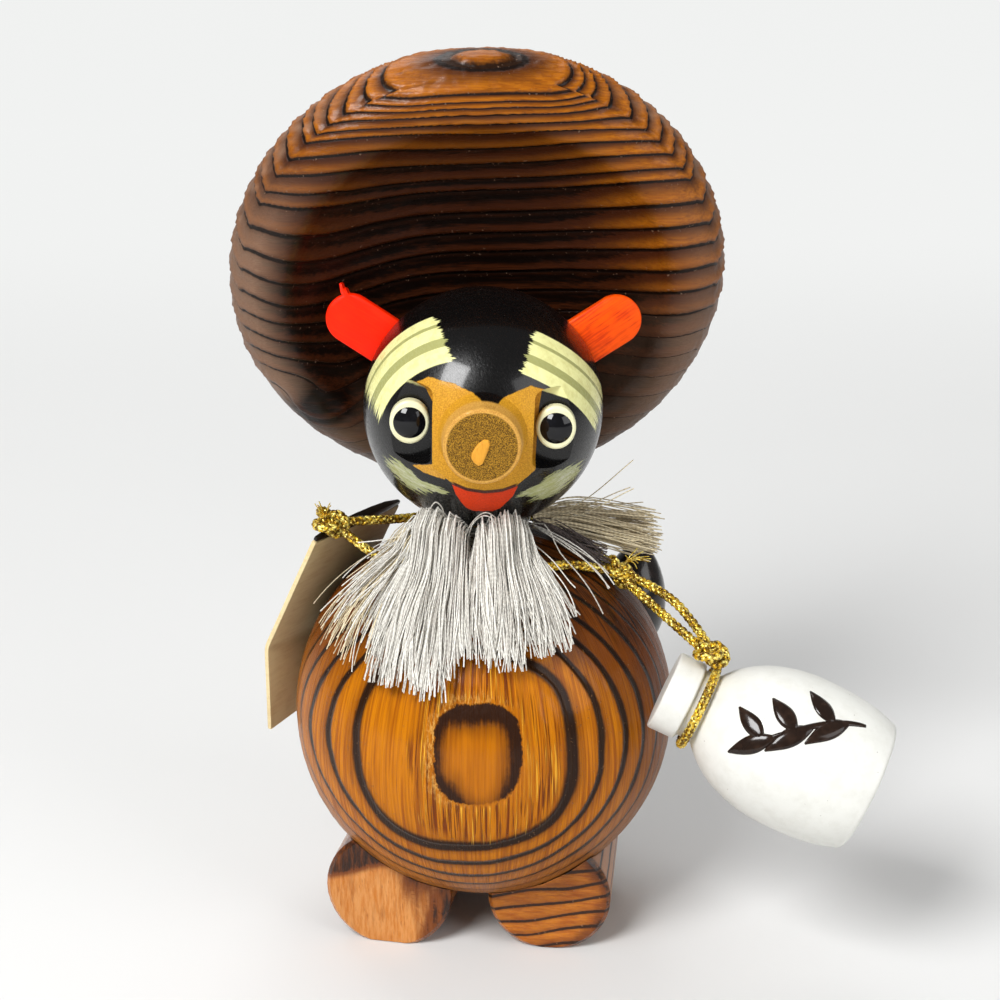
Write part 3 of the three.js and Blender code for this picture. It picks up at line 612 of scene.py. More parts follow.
def braid_tree() -> NodeTree:
    """The tree that plaits eight strands, four each way, round a line."""
    kinds = {name: "NodeSocketFloat" for name in ("Diameter", "Pitch", "Step")}
    tree, given = geometry_tree("braid", {**kinds, "Material": "NodeSocketMaterial"})

    def vector(operation: str, sockets: dict) -> NodeSocket:
        """The result of a Vector Math node."""
        return add_node(tree, "ShaderNodeVectorMath", {"operation": operation}, sockets).outputs[0]

    line = add_node(tree, "GeometryNodeMeshToCurve", {}, {"Mesh": given.outputs["Geometry"]})
    spacing = {"Curve": line.outputs[0], "Length": given.outputs["Step"]}
    fine = add_node(tree, "GeometryNodeResampleCurve", {"mode": "LENGTH"}, spacing)
    copies = {"Geometry": fine.outputs[0], "Amount": 8}
    many = add_node(tree, "GeometryNodeDuplicateElements", {"domain": "SPLINE"}, copies)
    number = Sock(tree, many.outputs["Duplicate Index"])
    run = Sock(tree, add_node(tree, "GeometryNodeSplineParameter", {}, {}).outputs["Length"])
    hand = number.math("MODULO", 2.0) * 2.0 - 1.0
    start = number.math("MULTIPLY", 0.5).math("FLOOR") * (math.pi / 2)
    angle = run / Sock(tree, given.outputs["Pitch"]) * TURN * hand + start
    diameter = Sock(tree, given.outputs["Diameter"])
    weave = (angle * 4.0).math("COSINE") * hand
    reach = diameter * 0.3 + weave * diameter * 0.06
    tangent = add_node(tree, "GeometryNodeInputTangent", {}, {}).outputs[0]
    normal = add_node(tree, "GeometryNodeInputNormal", {}, {}).outputs[0]
    side = vector("CROSS_PRODUCT", {0: tangent, 1: normal})
    first = vector("SCALE", {0: normal, "Scale": reach * angle.math("COSINE")})
    second = vector("SCALE", {0: side, "Scale": reach * angle.math("SINE")})
    moved = {"Geometry": many.outputs[0], "Offset": vector("ADD", {0: first, 1: second})}
    laid = add_node(tree, "GeometryNodeSetPosition", {}, moved)
    # The weave's height, kept for the painted shade where strands dip under.
    kept = stored(tree, laid.outputs[0], "lift", weave)
    close_tree(tree, kept, (diameter * 0.185).socket, 6, given.outputs["Material"])
    return tree


def lines_object(name: str, lines: Sequence[Points], closed: bool = False) -> Object:
    """A mesh of bare edges along lines of points in metres."""
    points, edges, start = [], [], 0
    for line in lines:
        points += [tuple(p) for p in line]
        edges += [(start + i, start + i + 1) for i in range(len(line) - 1)]
        if closed:
            edges.append((start + len(line) - 1, start))
        start += len(line)
    mesh = bpy.data.meshes.new(name)
    mesh.from_pydata(points, edges, [])
    return linked(name, mesh)


def grown(base: Object, tree: NodeTree, values: dict) -> Object:
    """Runs a geometry tree on an object and keeps the result as a plain mesh.

    Args:
        base: the object that the tree starts from, which is used up.
        tree: the tree.
        values: its inputs by name.

    Returns:
        The new object under the base's name.
    """
    modifier = base.modifiers.new("grow", "NODES")
    modifier.node_group = tree
    for item in tree.interface.items_tree:
        if item.name in values and item.in_out == "INPUT":
            modifier[item.identifier] = values[item.name]
    graph = bpy.context.evaluated_depsgraph_get()
    evaluated = base.evaluated_get(graph)
    mesh = bpy.data.meshes.new_from_object(evaluated, preserve_all_data_layers=True, depsgraph=graph)
    name = base.name
    base.modifiers.remove(modifier)
    bpy.data.objects.remove(base)
    mesh.name = name
    return linked(name, mesh)


def settle(made: Object, material: Material | None, body: Body, slot: Slot, *nodes: str) -> Object:
    """Gives a finished piece its material and its body, and hides the imported nodes that it stands for."""
    if material is not None:
        made.data.materials.clear()
        made.data.materials.append(material)
    if nodes:
        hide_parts(*nodes)
    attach(made, body.value)
    LOG.info("%s: %d faces", made.name, len(made.data.polygons))
    return made


# Finishes


@dataclass(frozen=True)
class RingedCedar:
    """Varnished cedar with dark growth lines, from the mesh's own ring count, its char with painted shade,
    and its painted sheen with wear; each band also gets a painted shade towards its line.
    """

    name: str
    early: Colour
    warm: Colour
    late: Colour
    # The char's brown, also used for the painted shade of each band.
    shade: Colour
    # The painted sheen's colour, also used for the real torn rim and nicks.
    bloom: Colour
    line: float
    roughness: float
    coat: float
    grain: Triple = (2.6, 2.6, 0.12)
    turn: Triple = (0.0, 0.0, 0.0)
    # How strongly each band's painted shade darkens it.
    terrace_shade: float = 0.35
    depth: float = 0.12
    polish: float = 0.2
    # How much each band's painted shade deepens the char.
    char_and_shade: float = 0.0

    def make(self) -> Material:
        """Builds the material."""
        s = Surface(self.name)
        count, scorch, bloom = s.attribute("rings"), s.attribute("scorch"), s.attribute("bloom")
        streak = s.mottle(self.fibre(s, 1.0), 1.0, 4, 0.6)
        hair = s.mottle(self.fibre(s, 2.4), 1.0, 2, 0.5)
        broad = s.mottle(s.place(), 0.06, 2)
        rag = s.mottle(s.place((1.2, 1.2, 0.5)), 1.0, 3)
        spot = count + (rag - 0.5) * 0.06
        away = ((spot + 0.5).math("FRACT") - 0.5).math("ABSOLUTE")
        wide = self.line * (0.45 + broad * 1.1) * (s.attribute("bold") + 1.0)
        line = (away / wide).smooth(1.15, 0.5)
        # Painted shade: each band darkens towards one of its lines, standing in for the shadow of the brushed
        # terrace's step.
        step = spot.math("FRACT").smooth(0.75, 0.0)
        wood = s.mix(streak.smooth(0.35, 0.7), self.early, self.warm)
        wood = s.mix(hair.smooth(0.6, 0.74) * 0.4, wood, self.shade)
        wood = s.mix(step * self.terrace_shade, wood, self.shade)
        # Each band's painted shade is added here to the mesh's own char and painted shade.
        burn_and_shade = scorch * (1 - (1 - step) * (0.16 * self.char_and_shade)) + step * (scorch * 0.5 + 0.3) * self.char_and_shade
        burn_and_shade = burn_and_shade + (streak - 0.5) * burn_and_shade * 0.7
        wood = s.mix(burn_and_shade.smooth(0.75, 1.05), s.mix(burn_and_shade.smooth(0.0, 0.75), wood, self.shade), self.late)
        blot = s.mottle(self.fibre(s, 0.55), 1.0, 3)
        wood = s.mix(blot.smooth(0.5, 0.72) * 0.35, wood, self.shade)
        # Painted sheen: a pale greyish haze standing in for bright surroundings reflected at grazing angles;
        # on the hat's torn rim it is real wear.
        wood = s.mix(bloom * (0.55 + hair * 0.6), wood, self.bloom)
        singe = (away / wide).smooth(2.6, 0.9) * (s.attribute("bold").math("MAXIMUM", 0.0) * 0.2 + 0.27)
        wood = s.mix(singe, wood, self.shade)
        nick = s.mottle(s.place((1.5, 1.5, 1.5)), 1.0, 2, 0.6).smooth(0.66, 0.72)
        nick = nick * (away / wide).smooth(2.6, 1.4)
        wood = s.mix(nick * 0.6, s.mix(line * 0.95, wood, self.late), self.bloom)
        colour, height = self.mark(s, wood, nick - line * 0.6 + (hair - 0.5) * 0.7 + (streak - 0.5) * 0.5)
        s.bump(height, self.depth)
        rough = self.roughness + (hair - 0.5) * 0.3 + bloom * 0.1
        sheen = {"coat_weight": self.coat, "coat_roughness": self.polish, "specular_ior_level": 0.1}
        return s.done(base_color=colour, roughness=rough, **sheen)

    def fibre(self, s: Surface, finer: float) -> Sock:
        """Coordinates stretched along the wood's fibres, for grain so many times finer than its own."""
        return s.place(tuple(finer * g for g in self.grain), self.turn)

    def mark(self, s: Surface, colour: Sock, height: Sock) -> tuple[Sock, Sock]:
        """Adds what one piece of wood has of its own; plain wood has nothing.

        Args:
            s: the surface.
            colour: the wood's colour.
            height: the wood's relief.

        Returns:
            The colour and the relief with the addition.
        """
        return colour, height


@dataclass(frozen=True)
class BellyCedar(RingedCedar):
    """The belly's wood, with upright fibres, the burnt ring and the torn fibres round it."""

    spin: Triple = (0.0, 0.0, 0.0)

    def fibre(self, s: Surface, finer: float) -> Sock:
        """Coordinates stretched along upright fibres, the same at every depth from the axis."""
        x, y, z = s.split(s.place(shift=(-self.spin[0], -self.spin[1], 0)))
        wide = (x * x + y * y).math("SQRT").math("MAXIMUM", 0.1) / (37.0 * self.grain[0] * finer)
        return s.gather(x=x / wide, y=y / wide, z=z * (self.grain[2] * finer))

    def mark(self, s: Surface, colour: Sock, height: Sock) -> tuple[Sock, Sock]:
        """Adds the burnt ring and the torn fibres."""
        edge, thick, torn = s.attribute("eye"), s.attribute("eye_width"), s.attribute("torn")
        rag = s.mottle(s.place((1.4, 0.4, 0.9)), 1.0, 4, 0.7) - 0.5
        comb = s.mottle(self.fibre(s, 0.8), 1.0, 3, 0.6) - 0.5
        outer = edge + rag * 1.6
        ring = outer.smooth(0.25, -0.2) * (edge + thick + comb * 2.4 + rag * 1.4).smooth(-1.0, 0.8)
        inner = (edge + thick + comb * 3.0).smooth(0.2, -1.4)
        halo = (outer + 0.4).smooth(2.6, 0.0) * 0.3
        tear = outer.smooth(-0.1, 0.3) * (edge + rag * 4.0).smooth(2.4, 0.4) * torn
        chips = s.mottle(s.place((2.6, 0.8, 0.7)), 1.0, 3, 0.7)
        split = s.mottle(self.fibre(s, 1.05), 1.0, 2, 0.6)
        patch = s.mottle(s.place((0.09, 0.05, 0.045)), 1.0, 1).smooth(0.34, 0.46)
        front = edge.smooth(8.5, 6.0) * outer.smooth(0.2, 1.2)
        gouge = split.smooth(0.55, 0.6) * front * patch
        bright = split.smooth(0.42, 0.36) * front * patch
        colour = s.mix(inner * 0.4, colour, tint(192, 110, 4))
        sear = (edge + thick + comb * 2.6).smooth(-3.4, 0.4) * outer.smooth(0.3, -0.3)
        colour = s.mix(sear * 0.8, colour, tint(74, 34, 5))
        colour = s.mix(halo, colour, tint(150, 84, 12))
        colour = s.mix(bright * 0.85, colour, tint(246, 180, 52))
        colour = s.mix(gouge * 0.9, colour, tint(108, 42, 1))
        colour = s.mix(tear * chips.smooth(0.44, 0.6) * 0.75, colour, tint(232, 178, 92))
        colour = s.mix(ring * 0.94, colour, tint(34, 16, 8))
        return colour, height - gouge * 2.8 + bright * 1.6 + tear * (chips - 0.5) * 4.0 + ring * rag * 1.5


@dataclass(frozen=True)
class Paint:
    """Brushed paint on wood: one colour with brush drag, a second shade and small specks."""

    name: str
    colour: Colour
    second: Colour
    roughness: float = 0.42
    coat: float = 0.0
    drag: Triple = (0.3, 1.6, 0.3)
    turn: Triple = (0.0, 0.0, 0.0)
    share: float = 0.5
    depth: float = 0.05
    speck: Colour | None = None
    gloss: float = 0.3

    def make(self) -> Material:
        """Builds the material."""
        s = Surface(self.name)
        brush = s.mottle(s.place(self.drag, self.turn), 1.0, 4, 0.6)
        patch = s.mottle(s.place(), 0.25, 3)
        worn = (brush * 0.6 + patch * 0.4).smooth(0.42, 0.66)
        colour = s.mix(worn * self.share, self.colour, self.second)
        if self.speck is not None:
            dots = s.mottle(s.place(), 1.7, 1)
            colour = s.mix(dots.smooth(0.79, 0.83), colour, self.speck)
        s.bump(brush * 0.7 + patch * 0.5, self.depth)
        rough = self.roughness + (brush - 0.5) * 0.2
        sheen = {"coat_weight": self.coat, "coat_roughness": 0.1, "specular_ior_level": self.gloss}
        return s.done(base_color=colour, roughness=rough, **sheen)


@dataclass(frozen=True)
class Thread:
    """Twisted thread: each strand its own random tone, with painted shade in the grooves between the plies
    along it.
    """

    name: str
    light: Colour
    dark: Colour
    ply: float = 0.9
    metal: float = 0.0
    roughness: float = 0.5
    sheen: float = 0.3

    def make(self) -> Material:
        """Builds the material."""
        s = Surface(self.name)
        # Painted shade in the grooves between the plies, a dark band at each twist.
        band = (s.attribute("along") * (PER_METRE * TURN / self.ply)).math("SINE") * 0.5 + 0.5
        shade = s.attribute("shade")
        colour = s.mix(shade * 0.75 + band * 0.25, self.light, self.dark)
        s.bump(band, 0.05)
        looks = {"roughness": self.roughness, "metallic": self.metal, "sheen_weight": self.sheen}
        return s.done(base_color=colour, **looks)


@dataclass(frozen=True)
class GoldBraid:
    """Metallic gold film wound on the cord's strands, with painted glints and painted shade where a strand
    dips under another.
    """

    name: str = "gold_braid"
    light: Colour = tint(232, 184, 36)
    bright: Colour = tint(255, 238, 132)
    dark: Colour = tint(104, 70, 6)

    def make(self) -> Material:
        """Builds the material."""
        s = Surface(self.name)
        glint = s.mottle(s.place(), 1.3, 2, 0.6)
        # Painted glints: random brighter patches on the gold.
        film = s.mix(glint.smooth(0.4, 0.62), self.light, self.bright)
        # Painted shade where a strand dips under another, from the weave's height.
        colour = s.mix(s.attribute("lift").smooth(-0.9, 0.35), self.dark, film)
        s.bump(glint, 0.05)
        return s.done(base_color=colour, metallic=0.6, roughness=0.26 + (glint - 0.5) * 0.3)


# Edges of the painted shapes: pairs of a place across the face and a height, from its middle, in millimetres
BROW_TOP = (
    *((-14.2, 8.4), (-10, 10.8), (-5.3, 10.3), (-1.5, 8.9)),
    *((1.8, 7.6), (4.5, 8.9), (8.3, 10.2), (12.4, 8.8)),
)
BROW_LOW = (
    *((-14.2, 9.6), (-10.6, 7.8), (-9.2, 5.0), (-8.9, -5.8), (-4.7, -8.9), (0.8, -9.9)),
    *((6.4, -8.9), (9.9, -5.6), (10.1, 5.0), (10.5, 8.2), (12.4, 9.8)),
)
LIP_TOP = ((-5.4, -8.5), (-2.5, -9.7), (0.8, -10.1), (4.0, -9.7), (7.0, -8.5))
LIP_LOW = (
    *((-5.4, -8.4), (-4.4, -11.2), (-2.6, -14.2), (-1.2, -15.0)),
    *((2.4, -15.0), (3.8, -14.2), (6.0, -11.2), (7.0, -8.4)),
)
WING_TOP = ((-12.8, -6.0), (-8.6, -4.8))
WING_LOW = ((-12.8, -6.2), (-10.6, -7.2), (-8.6, -7.6), (-6.4, -8.0))


@dataclass(frozen=True)
class Cheek:
    """A dry-brushed stroke: its middle, half its length and height, its slope and its side of the face."""

    across: float
    high: float
    wide: float
    tall: float
    slope: float
    side: int


@dataclass(frozen=True)
class Stripes:
    """A set of strokes round a pole of the head, in shares of its radius.

    The band is the heights of its upper and lower edge above the pole's plane. The inner ends are a place at
    the upper edge, its change to the lower edge, and the side that is painted. The outer ends are a height
    and its change.
    """

    pole: Triple
    band: Pair
    inner: Triple
    outer: Pair


CHEEKS = (
    Cheek(-13.8, -9.2, 4.2, 2.4, 0.45, -1),
    Cheek(-9.0, -10.3, 3.2, 0.9, 0.2, -1),
    Cheek(14.0, -9.6, 4.8, 2.9, 0.4, 1),
    Cheek(10.4, -10.0, 3.6, 1.1, 0.3, 1),
)
STRIPES = (
    Stripes((0.067, 0.964, 0.259), (-0.121, -0.591), (-0.43, 0.17, -1.0), (0.18, -0.14)),
    Stripes((0.2, 0.697, 0.688), (0.305, -0.129), (0.39, -0.1, 1.0), (0.2, -0.24)),
)


@dataclass(frozen=True)
class FacePaint:
    """Black lacquer with the painted face: snout, mouth, stripes, cheeks and the nose's bare end grain."""

    centre: Vector
    roll: float
    radius: float
    nose_front: float
    nose_lift: float
    nose_radius: float

    def make(self) -> Material:
        """Builds the material."""
        s = Surface("face_lacquer")
        turn = Matrix.Rotation(-self.roll, 3, "Y")
        at = s.place(turn=(0, -self.roll, 0), shift=tuple(-(turn @ self.centre) * PER_METRE))
        x, y, z = s.split(at)
        rag = s.mottle(at, 1.1, 4, 0.65) - 0.5
        fine = s.mottle(at, 4.2, 3, 0.6)
        bristle = s.mottle(s.place((1.5, 1.5, 1.5)), 1.0, 2)
        hairs = s.mottle(s.place((3.2, 2.0, 1.1), turn=(0.3, 0.5, 0.4)), 1.0, 3, 0.7, 0.6)
        front = y.smooth(-4.0, -7.0)
        colour = s.mix(hairs.smooth(0.58, 0.8) * 0.45, tint(9, 8, 8), tint(40, 26, 18))
        ears = self.dab(x, z, -17.6, 14.4, 3.6, 3.0, rag) + self.dab(x, z, 16.6, 14.8, 4.0, 3.2, rag)
        colour = s.mix(ears * y.smooth(-4.5, -1.5) * 0.55, colour, tint(84, 34, 34))
        for cheek in CHEEKS:
            colour = self.cheek(s, colour, x, z, front, cheek)
        for stripes in STRIPES:
            colour = self.stripes(s, at, colour, rag, stripes)
        edge = rag * 0.5
        brow = self.between(x, z, (BROW_TOP, BROW_LOW), (edge, edge), 0.25)
        brow = brow * x.span(-14.4, 12.6, 0.4) * front
        wing = self.between(x, z, (WING_TOP, WING_LOW), (edge, edge), 0.25)
        wing = wing * x.smooth(-12.8, -12.3) * x.smooth(-6.4, -6.6)
        gold = s.mix(fine.smooth(0.35, 0.65), tint(216, 160, 40), tint(182, 124, 22))
        gold = s.mix(bristle.smooth(0.45, 0.75) * 0.6, gold, tint(206, 146, 42))
        colour = s.mix(brow.math("MAXIMUM", wing * front), colour, gold)
        mouth = self.between(x, z, (LIP_TOP, LIP_LOW), (0.0, rag * 0.6), 0.3)
        mouth = mouth * x.span(-5.4, 7.0, 0.4) * front
        red = s.mix(fine.smooth(0.3, 0.7), tint(224, 60, 4), tint(196, 48, 3))
        colour = s.mix(mouth, colour, red)
        lip_line = (z - x.curve(LIP_TOP) - 0.2).math("ABSOLUTE").smooth(0.5, 0.2)
        lip_line = lip_line * x.span(-5.6, 7.2, 1.0) * front
        colour = s.mix(lip_line, colour, tint(70, 26, 10))
        side = s.mix(fine.smooth(0.3, 0.7), tint(222, 172, 82), tint(190, 132, 54))
        colour = s.mix(y.smooth(-self.radius - 0.3, -self.radius - 1.2), colour, side)
        lift = z - self.nose_lift
        off = (x * x + lift * lift).math("SQRT")
        disc = off.smooth(self.nose_radius + 0.1, self.nose_radius - 0.2)
        disc = disc * y.smooth(-self.nose_front + 0.5, -self.nose_front + 0.2)
        pores = s.mottle(at, 6.4, 2, 0.6)
        grain = s.mix(pores.smooth(0.46, 0.58), tint(88, 58, 12), tint(178, 132, 36))
        colour = s.mix(disc, colour, grain)
        painted = brow.math("MAXIMUM", mouth)
        s.bump(hairs * 0.8 + painted * (fine * 1.2 + 0.6) + disc * pores * 1.5, 0.05)
        bare = disc.math("MAXIMUM", painted * 0.8)
        rough = 0.27 + (hairs - 0.5) * 0.3 + bare * 0.35
        sheen = {"coat_weight": 0.42 - bare * 0.42, "coat_roughness": 0.1, "specular_ior_level": 0.2}
        return s.done(base_color=colour, roughness=rough, **sheen)

    def between(self, x: Sock, z: Sock, curves: Sequence, edges: Sequence, soft: float) -> Sock:
        """1 below an upper and above a lower curve across the face, each with its own ragged edge."""
        top, low = (x.curve(curve) for curve in curves)
        return (top - z + edges[0]).smooth(0.0, soft) * (z - low + edges[1]).smooth(0.0, soft)

    def dab(self, x: Sock, z: Sock, across: float, high: float, wide: float, tall: float, rag: Sock) -> Sock:
        """A soft-edged oval dab of paint."""
        a = (x - across) / wide
        b = (z - high) / tall
        return (a * a + b * b + rag * 0.4).smooth(1.1, 0.7)

    def cheek(self, s: Surface, under: Sock, x: Sock, z: Sock, front: Sock, stroke: Cheek) -> Sock:
        """A dry-brushed stroke of olive on a cheek.

        Args:
            s: the surface.
            under: the colour below.
            x: places across the face.
            z: places up the face.
            front: 1 on the front of the face.
            stroke: where the stroke lies.

        Returns:
            The colour with the stroke on it.
        """
        run = x - stroke.across
        lane = z - stroke.high - run * (stroke.slope * stroke.side)
        comb = s.mottle(s.gather(x=run * 0.35, y=lane * 2.2, z=stroke.across), 1.0, 3, 0.7) - 0.5
        a, b = run / stroke.wide, lane / stroke.tall
        cover = (a * a + b * b + comb * 3.4).smooth(1.05, 0.7)
        paint = s.mix((comb + 0.5).smooth(0.4, 0.65), tint(164, 168, 112), tint(196, 196, 164))
        return s.mix(cover * front * 0.92, under, paint)

    def stripes(self, s: Surface, at: Sock, under: Sock, rag: Sock, strokes: Stripes) -> Sock:
        """Lemon strokes with olive strokes between, round a pole of the ball.

        Args:
            s: the surface.
            at: the face's coordinates.
            under: the colour below.
            rag: the brush's ragged edge.
            strokes: where the strokes lie.

        Returns:
            The colour with the strokes on it.
        """
        x, _, z = s.split(at)
        pole = tuple(p / self.radius for p in strokes.pole)
        high = s.node("ShaderNodeVectorMath", {"operation": "DOT_PRODUCT"}, {0: at, 1: pole}, "Value")
        (upper, lower), (start, slant, way), (end, drop) = strokes.band, strokes.inner, strokes.outer
        t = (high - upper) / (lower - upper)
        comb = s.mottle(s.gather(x=t * 9.0), 1.0, 3, 0.75) - 0.5
        hairs = s.mottle(s.gather(x=t * 34.0, y=z * 0.12), 1.0, 2, 0.6) - 0.5
        ends = (x / self.radius - start - t * slant) * way + comb * 0.22 + rag * 0.03 + hairs * 0.05
        foot = z / self.radius - end - t * drop + comb * 0.3 + hairs * 0.35
        wave = t + rag * 0.015
        inside = wave.span(-0.01, 1.01, 0.02)
        olive = wave.span(0.235, 0.325, 0.015) + wave.span(0.565, 0.745, 0.015)
        streak = s.mottle(s.place((0.5, 0.5, 0.5)), 1.0, 2)
        lemon = s.mix(streak.smooth(0.4, 0.7), tint(240, 238, 168), tint(226, 222, 150))
        paint = s.mix(olive, lemon, tint(168, 168, 106))
        return s.mix(inside * ends.smooth(-0.008, 0.012) * foot.smooth(-0.03, 0.05), under, paint)


@dataclass(frozen=True)
class Gloss:
    """A smooth glossy black, with the faint waviness of a dipped bead."""

    name: str
    colour: Colour
    roughness: float = 0.06

    def make(self) -> Material:
        """Builds the material."""
        s = Surface(self.name)
        wave = s.mottle(s.place(), 0.5, 2)
        colour = s.mix(wave.smooth(0.4, 0.7), self.colour, tuple(1.8 * c for c in self.colour[:3]) + (1.0,))
        s.bump(wave, 0.02)
        rough = self.roughness + (wave - 0.5) * 0.05
        sheen = {"coat_weight": 0.2, "coat_roughness": 0.03, "specular_ior_level": 0.25}
        return s.done(base_color=colour, roughness=rough, **sheen)


# Sub-assemblies


@dataclass
class Place:
    """Where the ornament's main centres are, in millimetres, with the body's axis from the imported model."""

    body_radius: float = 37.2
    body_floor: float = 6.8
    neck_gap: float = 2.2
    head_radius: float = 22.75
    face_roll: float = math.radians(2.3)
    axis: Vector = field(default_factory=lambda: Vector((0, 0, 0)))

    def __post_init__(self) -> None:
        """Reads the body's axis from the frame."""
        low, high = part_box("body")
        self.axis = Vector(((low[0] + high[0]) / 2 * PER_METRE, (low[1] + high[1]) / 2 * PER_METRE, 0))

    @property
    def body(self) -> Vector:
        """The body ball's centre."""
        return self.axis + UP * (self.body_floor + self.body_radius)

    @property
    def head(self) -> Vector:
        """The head ball's centre."""
        return self.body + UP * (self.body_radius + self.neck_gap + self.head_radius)

    def on_body(self, polar: float, azimuth: float, above: float) -> Vector:
        """A point over the body ball.

        Args:
            polar: degrees from the vertical.
            azimuth: degrees round it, from +X towards +Y.
            above: millimetres above the ball.

        Returns:
            The point in millimetres.
        """
        return self.body + heading(polar, azimuth) * (self.body_radius + above)


def heading(polar: float, azimuth: float) -> Vector:
    """A unit vector from degrees off the vertical and degrees round it."""
    p, a = math.radians(polar), math.radians(azimuth)
    return Vector((math.sin(p) * math.cos(a), math.sin(p) * math.sin(a), math.cos(p)))


def at(centre: Vector) -> Matrix:
    """The matrix of a frame at a point in millimetres, in metres."""
    return Matrix.Translation(centre * MM)


@dataclass
class BellyBall:
    """The body: a brushed ball of flat-sawn cedar with its growth rings round the belly."""

    place: Place
    eye: Triple = (-1.0, -37.8, 6.6)
    pith: float = 78.0
    lean: tuple[tuple[float, ...], tuple[float, ...]] = (
        (-37, -35.2, -32.6, -28.7, -22.8, -8, 2, 17.2, 23.2, 27.8, 37),
        (-4.4, -3.6, -2.1, -0.95, 0, 0, 0.3, 2.45, 2.9, 3.0, 3.2),
    )
    first: Pair = (8.2, 9.7)
    corner: float = 2.7
    lines: tuple[float, ...] = (5.95, 8.85, 11.8, 14.9, 18.6, 22.1, *(25.4 + 3.4 * i for i in range(15)))
    relief: float = 0.26
    segments: int = 320

    def build(self) -> Object:
        """Makes the ball with its relief, its ring count and its burnt ring."""
        radius = self.place.body_radius
        way = Vector(self.eye).normalized()
        steps = np.radians(np.concatenate([np.linspace(180, 105, 56), np.linspace(105, 0, 250)[1:]]))
        profile = [(radius * math.sin(a), radius * math.cos(a)) for a in steps]
        facing = at(self.place.body) @ way.to_track_quat("Z", "Y").to_matrix().to_4x4()
        points, faces = revolve(profile, self.segments, facing)
        made = to_object("belly_ball", points, faces)
        local = (points - np.array(self.place.body) * MM) * PER_METRE
        front = np.array(way)
        side = np.array([1.0, 0, 0]) - front * front[0]
        side /= np.linalg.norm(side)
        along, across, high = local @ front, local @ side, local @ np.cross(side, -front)
        turn = np.arctan2(high, across)
        depth = self.pith + radius - np.hypot(across, self.pith + along) + np.interp(across, *self.lean)
        depth = depth + 0.5 * np.cos(4 * turn) * hump(depth - 6.5, 4)
        waver = 0.42 * clouds(points, 0.045, 3.1) + 0.14 * clouds(points, 0.16, 7.7)
        depth = depth + ramp(depth, 3, 7) * waver
        count = np.maximum(ring_count(depth, self.lines), RING_BASE - 0.45)
        arcs = radius * np.arccos(np.clip(along / radius, -1, 1)) / np.maximum(np.hypot(across, high), 1e-6)
        u, v = across * arcs / self.first[0], (high * arcs - 0.3) / self.first[1]
        oval = (np.abs(u) ** self.corner + np.abs(v) ** self.corner) ** (1 / self.corner)
        eye = (oval - 1) * self.first[0] + 0.7 * clouds(points, 0.13, 6.0) + 0.25 * clouds(points, 0.4, 2.0)
        around = np.arctan2(v, u)
        width = 0.9 + 2.3 * np.clip(np.sin(around), 0, 1) ** 2 + 1.4 * np.clip(np.cos(around), 0, 1) ** 2
        width = width + 1.2 * hump(around + 2.3, 0.35) - 1.9 * hump(around + 1.4, 0.42)
        push = self.relief * terrace(count) * ramp(depth, 4, 6)
        push = push + 0.04 * clouds(points * [1, 1, 0.08], 0.9, 1.3)
        beside = np.maximum(np.abs(eye + width / 2) - width / 2, 0)
        push = push - 0.12 * hump(beside, 0.5) * (eye < 3)
        set_points(made, points + (local / radius) * (push - 0.1)[:, None] * MM)
        up = local[:, 2]
        low_line = 0.25 + 0.7 * np.maximum(-np.sin(turn), 0) + 0.2 * np.cos(turn)
        torn = np.clip(0.35 - 0.6 * np.cos(around) + 0.25 * np.sin(around), 0.05, 1)
        flank = 0.42 * ramp(depth, 9, 19) * (0.75 + 0.25 * np.tanh(across / 12))
        keep(
            made,
            rings=count,
            eye=eye,
            eye_width=width,
            torn=torn * np.clip(4 - eye, 0, 1),
            bold=hump(depth - self.lines[0], 1.4) * low_line,
            # Darker towards the top, under the beard, and towards the sides.
            scorch=np.clip(0.54 * ramp(up, 4, 21) ** 1.1 * ramp(depth, 6.2, 11.2) + flank, 0, 1),
            # Painted sheen on the lower, outer rings.
            bloom=ramp(depth, 11, 25) * ramp(up, 6, -16) * 0.6,
        )
        return made

    def dress(self) -> None:
        """Builds the ball and gives it its wood."""
        # The last colour is the painted sheen.
        tints = (tint(206, 124, 4), tint(158, 82, 2), tint(20, 10, 5), tint(112, 56, 6), tint(136, 96, 58))
        looks = {"line": 0.19, "roughness": 0.3, "coat": 0.16, "grain": (1.9, 1.9, 0.05), "terrace_shade": 0.5}
        wood = BellyCedar("belly_cedar", *tints, polish=0.12, spin=tuple(self.place.axis), **looks)
        settle(self.build(), wood.make(), Body.FIGURE, Slot.CEDAR, "body")


